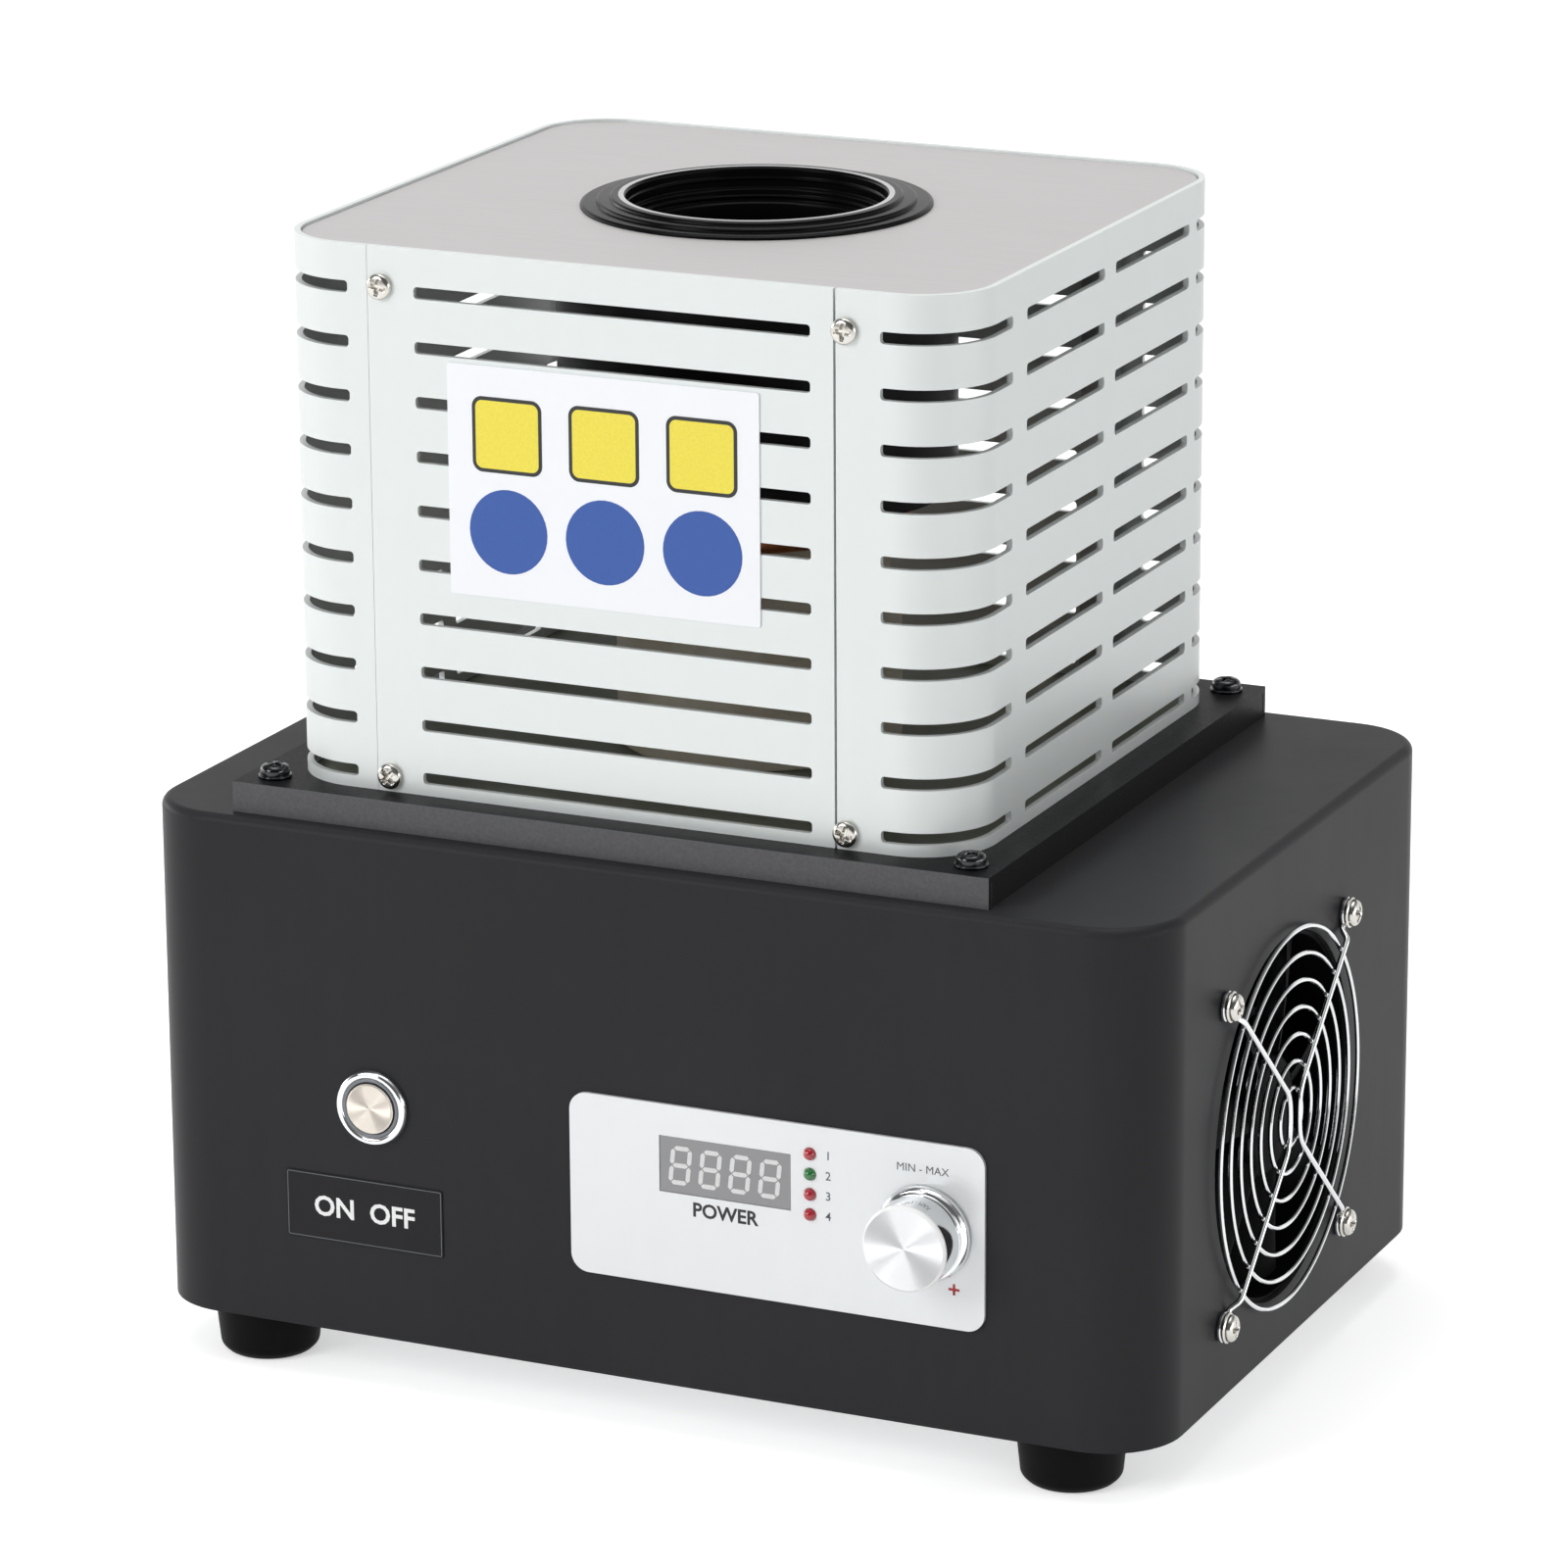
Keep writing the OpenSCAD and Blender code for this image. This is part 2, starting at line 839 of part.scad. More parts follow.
module filler_neck() {
    flange_r = filler_r + neck_rim;
    root = rear_t + sheet + tank_gap + tank_wall;
    color("#202124")
        on_back(filler_x, filler_z)
            difference() {
                union() {
                    translate([0, 0, -root])
                        cylinder(r = filler_r, h = root + neck_mouth);
                    cylinder(r = flange_r, h = neck_flange);
                }
                translate([0, 0, -root - through])
                    cylinder(r = filler_bore_r, h = root + neck_mouth + 2 * through);
            }
}

module filler_cap() {
    start = 3;
    mouth = 9.4;
    grips = 12;
    length = filler_proud - rear_t;
    color("#1a1b1d")
        on_back(filler_x, filler_z)
            difference() {
                translate([0, 0, start])
                    cylinder(d = filler_cap_d, h = length - start);
                translate([0, 0, start - through])
                    cylinder(r = filler_r + 0.4, h = mouth - start + through);
                for (i = [0:grips - 1])
                    rotate(i * 360 / grips)
                        translate([filler_cap_d / 2 + 1.4, 0, start - through])
                            cylinder(r = 3, h = length, $fn = 24);
            }
}

module mounting_tray() {
    tab_r = cage_screw_r + fit;
    color("#2b2c2e")
        difference() {
            union() {
                translate([stack_x, 0, cab_top])
                    difference() {
                        slab(tray_w, tray_d, tray_h);
                        translate([0, 0, -through])
                            slab(tray_w - 2 * tray_sheet, tray_d - 2 * tray_sheet, tray_h - tray_sheet + through);
                        for (x = [-1, 1], y = [-1, 1])
                            translate([x * (tray_w / 2 - tray_sheet / 2),
                                       y * (tray_d / 2 - tray_sheet - fold_gap / 2), -through])
                                slab(tray_sheet + 2 * through, fold_gap, tray_h - tray_sheet + through);
                    }
                at_posts()
                    translate([-tab_w / 2, 0, cage_z - bite])
                        cube([tab_w, tray_sheet, tray_tab_h]);
            }
            at_tray_screws()
                translate([0, 0, cab_top])
                    cylinder(r = tray_screw_r + fit, h = tray_h + through);
            at_coil_tails()
                translate([0, 0, cab_top])
                    cylinder(r = bush_r + run, h = tray_h + through);
            at_cage_screws()
                translate([0, 0, -cage_sheet - plate_gap - tray_sheet - through])
                    cylinder(r = tab_r, h = cage_sheet + plate_gap + tray_sheet + through);
        }
}

module tray_screws() {
    head_h = 3.4;
    color("#151618")
        at_tray_screws()
            translate([0, 0, cage_z]) {
                translate([0, 0, tray_washer_t])
                    screw(tray_screw_r, tray_h + tray_washer_t + sheet + 4, tray_screw_head_r, head_h);
                ring(tray_washer_r, tray_screw_r + bite, tray_washer_t);
            }
}

// One row of slots above another, from x0 to x1, drawn flat
module slot_columns(x0, x1) {
    for (i = [0:slot_rows - 1])
        translate([(x0 + x1) / 2, slot_first + i * slot_pitch])
            rounded_rect(x1 - x0, slot_h, slot_r);
}

// Cuts the flat drawing of slots through the front (turn 0) or the back (turn 180)
module cut_front(turn) {
    rotate(turn)
        translate([0, -cage_d / 2 + cage_sheet + through, 0])
            rotate([90, 0, 0])
                linear_extrude(cage_sheet + 2 * through)
                    children();
}

// Cuts it through the sides: the drawing's x runs towards the back
module cut_sides() {
    for (s = [-1, 1])
        translate([s * (cage_w / 2 - cage_sheet / 2) - cage_sheet / 2 - through, 0, 0])
            rotate([90, 0, 90])
                linear_extrude(cage_sheet + 2 * through)
                    children();
}

module cage_shell() {
    w = cage_w / 2;
    d = cage_d / 2;
    over = cage_r - 5;
    pair = 2 * side_slot + side_web;
    color("#d7dedf")
        difference() {
            translate([stack_x, 0, cage_z])
                difference() {
                    linear_extrude(cage_h)
                        difference() {
                            rounded_rect(cage_w, cage_d, cage_r);
                            rounded_rect(cage_w - 2 * cage_sheet, cage_d - 2 * cage_sheet, cage_r - cage_sheet);
                        }
                    translate([panel_left - hairline, -d - through, -through])
                        cube([panel_right + seam - panel_left + hairline, cage_sheet + 2 * through,
                              cage_h + 2 * through]);
                    cut_front(0) {
                        slot_columns(-w + over, -w + reach_front);
                        mirror([1, 0])
                            slot_columns(-w + over, -w + reach_front);
                    }
                    cut_front(180) {
                        slot_columns(-w + over, -w + reach_front);
                        slot_columns(-long_slot / 2, long_slot / 2);
                        slot_columns(w - reach_front, w - over);
                    }
                    cut_sides() {
                        slot_columns(-d + over, -d + reach_side);
                        slot_columns(side_shift - pair / 2, side_shift - side_web / 2);
                        slot_columns(side_shift + side_web / 2, side_shift + pair / 2);
                        slot_columns(d - reach_back, d - over);
                    }
                    for (i = [0:slot_rows - 1], x = [-1, 1], y = [-1, 1])
                        translate([x * (w - cage_r / 2), y * (d - cage_r / 2), slot_first + i * slot_pitch])
                            cube([cage_r + 2 * bite, cage_r + 2 * bite, slot_h], center = true);
                }
            at_cage_screws()
                translate([0, 0, -cage_sheet - through])
                    cylinder(r = cage_screw_r + fit, h = cage_sheet + 2 * through);
        }
}

module cage_front_panel() {
    color("#dde4e5")
        difference() {
            translate([stack_x + panel_left, -cage_d / 2, cage_z])
                cube([panel_right - panel_left, cage_sheet, cage_h]);
            translate([stack_x, 0, cage_z])
                cut_front(0)
                    slot_columns(-long_slot / 2, long_slot / 2);
            at_cage_screws()
                translate([0, 0, -cage_sheet - through])
                    cylinder(r = cage_screw_r + fit, h = cage_sheet + 2 * through);
        }
}

module cage_top_plate() {
    inset = cage_sheet + plate_gap;
    color("#cdcacb")
        difference() {
            union() {
                translate([stack_x, 0, plate_under])
                    plate(cage_w - 2 * inset, cage_d - 2 * inset, plate_t, cage_r - inset);
                at_posts()
                    translate([-tab_w / 2, 0, plate_under - plate_tab_h])
                        cube([tab_w, plate_t, plate_tab_h + bite]);
            }
            translate([stack_x, 0, plate_under - through])
                cylinder(r = barrel_bore_r, h = plate_t + 2 * through);
            at_cage_screws()
                translate([0, 0, -inset - plate_t - through])
                    cylinder(r = cage_screw_r + fit, h = inset + plate_t + through);
        }
}

module cage_posts() {
    behind = max(tray_sheet, plate_t);
    color("#a9adb0")
        difference() {
            at_posts()
                translate([-post / 2, behind, cage_z])
                    cube([post, post, plate_under - cage_z]);
            at_cage_screws()
                translate([0, 0, -cage_sheet - plate_gap - behind - post / 2])
                    cylinder(r = cage_screw_r, h = post);
        }
}

module cage_screws() {
    head_h = 2.6;
    color("#d8d4cc")
        at_cage_screws()
            screw(cage_screw_r, cage_sheet + plate_gap + max(tray_sheet, plate_t) + post / 2 - fit,
                  cage_screw_head_r, head_h);
}

module cage_label_plate() {
    label_w = 106;
    label_h = 73.5;
    label_t = 0.6;
    label_x = -2.7;
    label_z = 103.9;
    color("#f4f6f8")
        translate([stack_x + label_x, -cage_d / 2, cage_z + label_z])
            rotate([90, 0, 0])
                plate(label_w, label_h, label_t, 1);
}

module collar_ring() {
    bore_r = opening_d / 2;
    ledge_r = tube_in_r + 1;
    low = -plate_t - collar_sleeve;
    color("#1b1c1e")
        translate([stack_x, 0, plate_top])
            rotate_extrude()
                polygon([
                    [collar_d / 2, 0], [collar_d / 2, collar_rise * 0.6], [collar_d / 2 - 1, collar_rise],
                    [collar_step_d / 2, collar_rise], [collar_step_d / 2, 2 * collar_rise - 0.3],
                    [collar_step_d / 2 - 0.5, 2 * collar_rise], [collar_rim_d / 2, 2 * collar_rise],
                    [collar_rim_d / 2 - 0.6, 3 * collar_rise], [bore_r + 0.8, 3 * collar_rise],
                    [bore_r, 3 * collar_rise - 0.8], [bore_r, -3], [bore_r - 1.2, -3.6],
                    [bore_r - 1.2, -7], [ledge_r, -8], [ledge_r, low], [sleeve_r, low], [sleeve_r, 0]
                ]);
}

module coil_barrel() {
    color("#161719")
        translate([stack_x, 0, plate_under])
            rotate_extrude()
                polygon([
                    [barrel_bore_r, 0], [barrel_d / 2, 0], [barrel_d / 2, -barrel_l],
                    [barrel_d / 2 - barrel_wall, -barrel_l], [barrel_d / 2 - barrel_wall, -barrel_wall],
                    [barrel_bore_r, -barrel_wall]
                ]);
}

module refractory_tube() {
    color("#e9e4da")
        translate([stack_x, 0, brick_top])
            ring(tube_d / 2, tube_in_r, tube_top - brick_top);
}

module base_brick() {
    seat_gap = 0.4;
    color("#e2d9c6")
        translate([stack_x, 0, cage_z]) {
            cylinder(d = brick_d, h = brick_h);
            cylinder(r = tube_in_r - seat_gap, h = brick_h + seat_h);
        }
}

// The coil's path: up one tail, round the turns from the bottom, out at the top and down the other tail
coil_first = 90 + tail_angle;
coil_last = coil_first + 360 * coil_turns - 2 * tail_angle;
coil_rise = plate_under - collar_sleeve - coil_clear - coil_tube_d / 2 - coil_z;
coil_pitch = coil_rise * 360 / (coil_last - coil_first);
coil_bend = tail_r - coil_r;
function around(r, a, z) = [stack_x + r * cos(a), r * sin(a), z];
coil_path = concat(
    [around(tail_r, coil_first, terminal_top), around(tail_r, coil_first, coil_z - 2.2 * coil_bend)],
    [for (k = [1:5]) around(tail_r - coil_bend * (1 - cos(18 * k)), coil_first + 2 * k,
                            coil_z - coil_bend * (2.2 - 0.44 * k))],
    [for (k = [1:coil_steps * coil_turns - 3])
        let (a = coil_first + 10 + (coil_last - coil_first - 20) * k / (coil_steps * coil_turns - 3))
            around(coil_r, a, coil_z + coil_pitch * (a - coil_first) / 360)],
    [for (k = [1:5]) around(coil_r + coil_bend * sin(18 * k), coil_last - 10 + 2 * k,
                            coil_z + coil_rise - coil_bend * (1 - cos(18 * k)))],
    [around(tail_r, coil_last, coil_z - coil_bend), around(tail_r, coil_last, terminal_top)]
);

// Least gap of the coil to itself, between points over one turn apart along it
coil_gap = min([
    for (i = [0:len(coil_path) - 1])
        for (j = [i + round(coil_steps * 0.8):1:len(coil_path) - 1])
            norm(coil_path[i] - coil_path[j])
]) - coil_tube_d;
echo(coil_gap = coil_gap);

module induction_coil() {
    color("#b4673c")
        tube_along(coil_path, coil_tube_d / 2, coil_sides, [1, 0, 0]);
}

module coil_bushes() {
    flange = 1.5;
    below = sheet + 3;
    color("#a33b2a")
        at_coil_tails()
            translate([0, 0, cab_top - below])
                difference() {
                    union() {
                        cylinder(r = bush_r, h = below + tray_h + flange);
                        translate([0, 0, below + tray_h])
                            cylinder(r = bush_r + 2, h = flange);
                    }
                    translate([0, 0, -through])
                        cylinder(r = coil_tube_d / 2 + fit, h = below + tray_h + flange + 2 * through);
                }
}

module coil_terminals() {
    color("#c8a552")
        at_coil_tails()
            translate([0, 0, terminal_top - terminal_h])
                slab(terminal_w, terminal_w, terminal_h);
}

module lamp_places() {
    for (i = [0:3])
        on_front(lamp_x, lamp_z - i * lamp_pitch)
            children();
}

module control_faceplate() {
    color("#eceef0")
        difference() {
            on_front(face_x, face_mid_z)
                plate(face_w, face_h, face_t, face_r);
            on_front(display_x, display_z)
                translate([0, 0, -through])
                    slab(display_w, display_h, face_t + 2 * through);
            lamp_places()
                translate([0, 0, -through])
                    cylinder(d = lamp_d + fit, h = face_t + 2 * through);
            on_front(knob_x, knob_z)
                translate([0, 0, -through])
                    cylinder(r = pot_bush_r + run, h = face_t + 2 * through);
        }
}

module display_window() {
    sunk = 0.25;
    color("#8a8a8c")
        on_front(display_x, display_z)
            translate([0, 0, -sheet])
                slab(display_w - fit, display_h - fit, sheet + face_t - sunk);
}

module display_module() {
    color("#2a2b2d")
        on_front(display_x, display_z)
            translate([0, 0, -sheet - board_gap])
                slab(display_w + 5, display_h + 0.5, board_gap);
}

module indicator_lamps() {
    length = board_gap + sheet + face_t;
    color("#c8202c")
        lamp_places()
            translate([0, 0, -sheet - board_gap])
                rotate_extrude() {
                    square([lamp_d / 2, length]);
                    translate([0, length])
                        quarter(lamp_d / 2);
                }
}

module control_board() {
    color("#1f6b43")
        on_front(board_x, face_mid_z)
            translate([0, 0, -sheet - board_gap - board_t])
                slab(board_w, board_h, board_t);
}

module board_standoffs() {
    color("#c2c4c6")
        for (x = [-1, 1], z = [-1, 1])
            on_front(board_x + x * (board_w / 2 - 3.2), face_mid_z + z * (board_h / 2 - 3.2))
                translate([0, 0, -sheet - board_gap])
                    cylinder(r = 2.5, h = board_gap);
}

module potentiometer() {
    deep = 5;
    color("#7b8083")
        on_front(knob_x, knob_z)
            difference() {
                union() {
                    translate([0, 0, -sheet - pot_l])
                        cylinder(r = pot_r, h = pot_l);
                    translate([0, 0, -sheet - bite])
                        cylinder(r = pot_bush_r, h = sheet + face_t + pot_bush_l);
                }
                translate([0, 0, -sheet - deep])
                    cylinder(r = shaft_r + run, h = deep + sheet + face_t + pot_bush_l + through);
            }
}

// Hexagon nut on z = 0
module hex_nut(across_r, bore_r, t) {
    difference() {
        cylinder(r = across_r, h = t, $fn = 6);
        translate([0, 0, -through])
            cylinder(r = bore_r, h = t + 2 * through);
    }
}

module panel_nuts() {
    color("#b9bcbf") {
        on_front(knob_x, knob_z)
            translate([0, 0, face_t])
                hex_nut(nut_r, pot_bush_r, nut_t);
        on_front(button_x, button_zc)
            translate([0, 0, -sheet - button_nut_t])
                hex_nut(button_barrel_d / 2 + 4, button_barrel_d / 2, button_nut_t);
    }
}

module power_knob() {
    back = face_t + knob_gap;
    skirt_t = 3;
    round = 1;
    r = knob_d / 2;
    color("#e3e4e6")
        on_front(knob_x, knob_z)
            difference() {
                rotate_extrude()
                    polygon([
                        [0, back], [knob_skirt_d / 2, back], [knob_skirt_d / 2, back + skirt_t - round],
                        [knob_skirt_d / 2 - round, back + skirt_t], [r, back + skirt_t],
                        [r, knob_proud - round], [r - round, knob_proud], [0, knob_proud]
                    ]);
                translate([0, 0, back - through])
                    cylinder(r = knob_recess_r, h = pot_bush_l - knob_gap + 1 + through);
                translate([0, 0, back])
                    cylinder(r = shaft_r, h = knob_proud - back - 3);
                rotate(225)
                    translate([r - 6.5, -0.5, knob_proud - 0.4])
                        cube([4.5, 1, 1]);
            }
}

module knob_shaft() {
    deep = 4.5;
    color("#c8a552")
        on_front(knob_x, knob_z)
            translate([0, 0, -sheet - deep])
                cylinder(r = shaft_r, h = knob_proud - 3 + sheet + deep);
}

module switch_label_plate() {
    color("#2c2d2f")
        on_front(button_x - sign_shift, button_zc - sign_drop)
            plate(sign_w, sign_h, sign_t, 0.6);
}

module button_bezel() {
    chamfer = 0.8;
    color("#e6e8ea")
        on_front(button_x, button_zc)
            rotate_extrude()
                polygon([
                    [bezel_in_r, -button_barrel_l], [button_barrel_d / 2, -button_barrel_l],
                    [button_barrel_d / 2, 0], [bezel_d / 2, 0], [bezel_d / 2, bezel_t - chamfer],
                    [bezel_d / 2 - chamfer, bezel_t], [bezel_in_r, bezel_t]
                ]);
}

module button_light_ring() {
    deep = 9;
    color("#75797c")
        on_front(button_x, button_zc)
            translate([0, 0, bezel_t - 0.4 - deep])
                ring(bezel_in_r, light_in_r, deep);
}

module button_cap() {
    color("#dcd8d2")
        on_front(button_x, button_zc) {
            rotate_extrude()
                polygon([
                    [0, cap_front - cap_t], [cap_d / 2, cap_front - cap_t], [cap_d / 2, cap_front - 0.5],
                    [cap_d / 2 - 0.5, cap_front], [0, cap_front]
                ]);
            translate([0, 0, -button_barrel_l + 5])
                cylinder(r = stem_r, h = button_barrel_l - 5 + cap_front - cap_t + bite);
        }
}

module button_switch_body() {
    behind = 12;
    front = -cap_t - button_travel - 3;
    color("#26282b")
        on_front(button_x, button_zc) {
            difference() {
                translate([0, 0, -button_barrel_l - behind])
                    cylinder(r = bezel_in_r, h = button_barrel_l + behind + front);
                translate([0, 0, -button_barrel_l - 2])
                    cylinder(r = stem_r + run, h = button_barrel_l + 2);
            }
            for (x = [-1, 1], z = [-1, 1])
                translate([x * 4, z * 3, -button_barrel_l - behind - 6])
                    slab(2.8, 0.8, 6 + bite);
        }
}

// Fan frame: its local z = 0 is the cabinet's outer face
module fan_frame(side) {
    strut_w = 5;
    strut_t = 3;
    hub_t = 4;
    boss_r = 9;
    boss_h = 13;
    color("#1c1d1f")
        at_fan(side)
            translate([0, 0, -sheet - fan_t])
                difference() {
                    union() {
                        difference() {
                            plate(fan_size, fan_size, fan_t, 6);
                            translate([0, 0, -through])
                                cylinder(d = fan_bore, h = fan_t + 2 * through, $fn = 96);
                        }
                        cylinder(r = fan_hub_r, h = hub_t);
                        cylinder(r = boss_r, h = hub_t + boss_h);
                        for (a = [30, 150, 270])
                            rotate(a)
                                translate([0, -strut_w / 2, 0])
                                    cube([fan_bore / 2 + 1, strut_w, strut_t]);
                    }
                    translate([0, 0, 1])
                        cylinder(r = fan_shaft_r + run, h = fan_t, $fn = 32);
                    at_fan_screws()
                        translate([0, 0, -through])
                            cylinder(r = fan_screw_r, h = fan_t + 2 * through);
                }
}

module right_fan_frame() { fan_frame(1); }
module left_fan_frame() { fan_frame(-1); }

module fan_rotor(side) {
    start = 5;
    cup_wall = 2;
    boss_gap = 10.5;
    color("#141517")
        at_fan(side)
            translate([0, 0, -sheet - fan_t + start]) {
                difference() {
                    cylinder(r = fan_hub_r, h = rotor_h);
                    translate([0, 0, -through])
                        cylinder(r = boss_gap, h = rotor_h - cup_wall + through);
                }
                translate([0, 0, -start + 1.5])
                    cylinder(r = fan_shaft_r, h = rotor_h + start - 1.5 - cup_wall + bite, $fn = 32);
                for (i = [0:fan_blades - 1])
                    rotate(i * 360 / fan_blades)
                        intersection() {
                            translate([0, 0, rotor_h / 2])
                                rotate([blade_pitch, 0, 0])
                                    translate([fan_hub_r - 1, -blade_chord / 2, -blade_t / 2])
                                        cube([rotor_r, blade_chord, blade_t]);
                            cylinder(r = rotor_r, h = rotor_h);
                        }
            }
}

module right_fan_rotor() { fan_rotor(1); }
module left_fan_rotor() { fan_rotor(-1); }

// Wire guard: flat rings, two bent spokes in front of them and a loop under each screw
module fan_guard(side) {
    spoke_z = guard_gap + ring_wire / 2 + spoke_wire / 2 - 0.3;
    apex = 4;
    corner = fan_pitch / 2;
    jog_in = corner - loop_r / sqrt(2);
    jog_foot = corner - (fan_head_r + spoke_wire / 2 + 0.3) / sqrt(2);
    jog_out = jog_foot - 2.4;
    color("#c9cccf")
        at_fan(side) {
            for (i = [0:ring_count - 1])
                translate([0, 0, guard_gap])
                    rotate_extrude($fn = 96)
                        translate([ring_first + i * ring_pitch, 0])
                            circle(d = ring_wire, $fn = 24);
            for (y = [-1, 1]) {
                translate([0, y * apex, spoke_z])
                    sphere(d = spoke_wire + 0.1, $fn = 24);
                for (x = [-1, 1]) {
                    wire([0, y * apex, spoke_z], [x * jog_out, y * jog_out, spoke_z], spoke_wire / 2);
                    wire([x * jog_out, y * jog_out, spoke_z], [x * jog_foot, y * jog_foot, spoke_wire / 2],
                         spoke_wire / 2);
                    wire([x * jog_foot, y * jog_foot, spoke_wire / 2], [x * jog_in, y * jog_in, spoke_wire / 2],
                         spoke_wire / 2);
                    for (p = [[jog_out, spoke_z], [jog_foot, spoke_wire / 2]])
                        translate([x * p[0], y * p[0], p[1]])
                            sphere(d = spoke_wire + 0.1, $fn = 24);
                    translate([x * corner, y * corner, spoke_wire / 2])
                        rotate_extrude()
                            translate([loop_r, 0])
                                circle(d = spoke_wire, $fn = 24);
                }
            }
        }
}

module right_fan_guard() { fan_guard(1); }
module left_fan_guard() { fan_guard(-1); }

module fan_screws() {
    color("#cfd2d4")
        for (side = [-1, 1])
            at_fan(side)
                at_fan_screws()
                    translate([0, 0, spoke_wire])
                        screw(fan_screw_r, spoke_wire + sheet + fan_t - 2, fan_head_r, fan_head_h);
}

module heat_sink() {
    fins = 11;
    fin_t = 2;
    gap = (sink_h - fin_t) / (fins - 1);
    color("#b7bbbe")
        translate([sink_x, fan_y - sink_d / 2, floor_z]) {
            cube([sink_base, sink_d, sink_h]);
            for (i = [0:fins - 1])
                translate([sink_base - bite, 0, i * gap])
                    cube([sink_w - sink_base + bite, sink_d, fin_t]);
        }
}

module power_modules() {
    color("#3a3c3f")
        for (s = [-1, 1])
            translate([sink_x - module_t, fan_y + s * (module_d + module_gap) / 2 - module_d / 2,
                       floor_z + module_lift])
                cube([module_t, module_d, module_h]);
}

module inverter_board() {
    color("#1f6b43")
        translate([inverter_x, fan_y - inverter_d / 2, floor_z + inverter_lift])
            cube([inverter_t, inverter_d, inverter_h]);
}

module resonant_capacitors() {
    color("#2d5f9a")
        for (i = [0:3])
            translate([inverter_x - can_w, fan_y + (i - 1.5) * can_pitch - can_d / 2 - can_shift,
                       floor_z + can_lift])
                cube([can_w, can_d, can_h]);
}

module output_transformer() {
    color("#33353a")
        translate([transformer_x, transformer_y, floor_z])
            difference() {
                slab(core_w, core_d, core_h);
                for (s = [-1, 1])
                    translate([s * (core_leg + window_w) / 2, 0, (core_h - window_h) / 2])
                        slab(window_w, core_d + 2 * through, window_h);
            }
    color("#b4673c")
        translate([transformer_x, transformer_y, floor_z + (core_h - window_h) / 2 + 1])
            difference() {
                slab(core_leg + 2 * window_w - 2, core_d + 2 * winding_t, window_h - 2);
                translate([0, 0, -through])
                    slab(core_leg + fit, core_d + fit, window_h + 2 * through);
            }
}

module radiator() {
    header = 10;
    rows = 9;
    row_t = 5;
    gap = (radiator_h - 2 * header - row_t) / (rows - 1);
    color("#232528")
        translate([radiator_x, fan_y - radiator_d / 2, floor_z]) {
            cube([radiator_t, radiator_d, header]);
            translate([0, 0, radiator_h - header])
                cube([radiator_t, radiator_d, header]);
            for (s = [0, 1])
                translate([0, s * (radiator_d - header), 0])
                    cube([radiator_t, header, radiator_h]);
            for (i = [0:rows - 1])
                translate([4, header - bite, header + i * gap])
                    cube([radiator_t - 8, radiator_d - 2 * header + 2 * bite, row_t]);
        }
}

module water_tank() {
    color("#dfe3e2")
        translate([filler_x - tank_w / 2, tank_y, floor_z])
            difference() {
                cube([tank_w, tank_d, tank_h]);
                translate([tank_wall, tank_wall, tank_wall])
                    cube([tank_w - 2 * tank_wall, tank_d - 2 * tank_wall, tank_h - 2 * tank_wall]);
                translate([tank_w / 2, tank_d - tank_wall - through, cab_z + filler_z - floor_z])
                    rotate([-90, 0, 0])
                        cylinder(r = filler_r + run, h = tank_wall + 2 * through);
            }
}

module water_pump() {
    volute_r = pump_r + 4;
    volute_w = 14;
    axis_z = floor_z + volute_r;
    color("#35383c") {
        translate([pump_x, pump_y, axis_z])
            rotate([0, 90, 0]) {
                cylinder(r = pump_r, h = pump_l);
                translate([0, 0, -volute_w])
                    cylinder(r = volute_r, h = volute_w + bite);
            }
        translate([pump_x + pump_l / 2, pump_y, floor_z])
            slab(pump_l - 8, pump_r, 8);
    }
}

// Pipe routes, each straight out of its port at both ends
tail_out = terminal_top - terminal_h;
tank_port = [filler_x, tank_y, floor_z + 14];
pump_in = [pump_x - 14, pump_y, floor_z + pump_r + 4];
pump_out = [pump_x - 7, pump_y, floor_z + 2 * (pump_r + 4)];
pipe_in = stack_x + tail_x;
pipe_out = stack_x - tail_x;
radiator_in = [radiator_x + radiator_t, 30, floor_z + radiator_h - 5];
pipe_routes = [
    [tank_port, tank_port + [0, -12, 0], tank_port + [-14, -34, 3], pump_in + [-16, 24, 0],
     pump_in + [-20, 8, 0], pump_in + [-12, 0, 0], pump_in + [-6, 0, 0], pump_in],
    [pump_out, pump_out + [0, 0, 12], pump_out + [-3, 6, 33], pump_out + [21, 22, 55], [-20, 30, cab_z + 109],
     [pipe_in, tail_y, tail_out - 22], [pipe_in, tail_y, tail_out]],
    [[pipe_out, tail_y, tail_out], [pipe_out, tail_y, tail_out - 13], [pipe_out - 8, 34, tail_out - 19],
     [-56, 24, cab_z + 119], [-84, 20, cab_z + 127], radiator_in + [14, -6, -3], radiator_in + [7, 0, 0], radiator_in]
];

// Smooth route whose first and last stretches are straight, so that its ends are square to their ports
function pipe_path(p, n) =
    let (s = through_points(p, n))
        [s[0], for (i = [n:len(s) - 1 - n]) s[i], s[len(s) - 1]];

module coolant_pipes() {
    color("#b4673c")
        for (route = pipe_routes)
            tube_along(pipe_path(route, 4), pipe_r, 8, [0.3, 0.2, 1]);
}

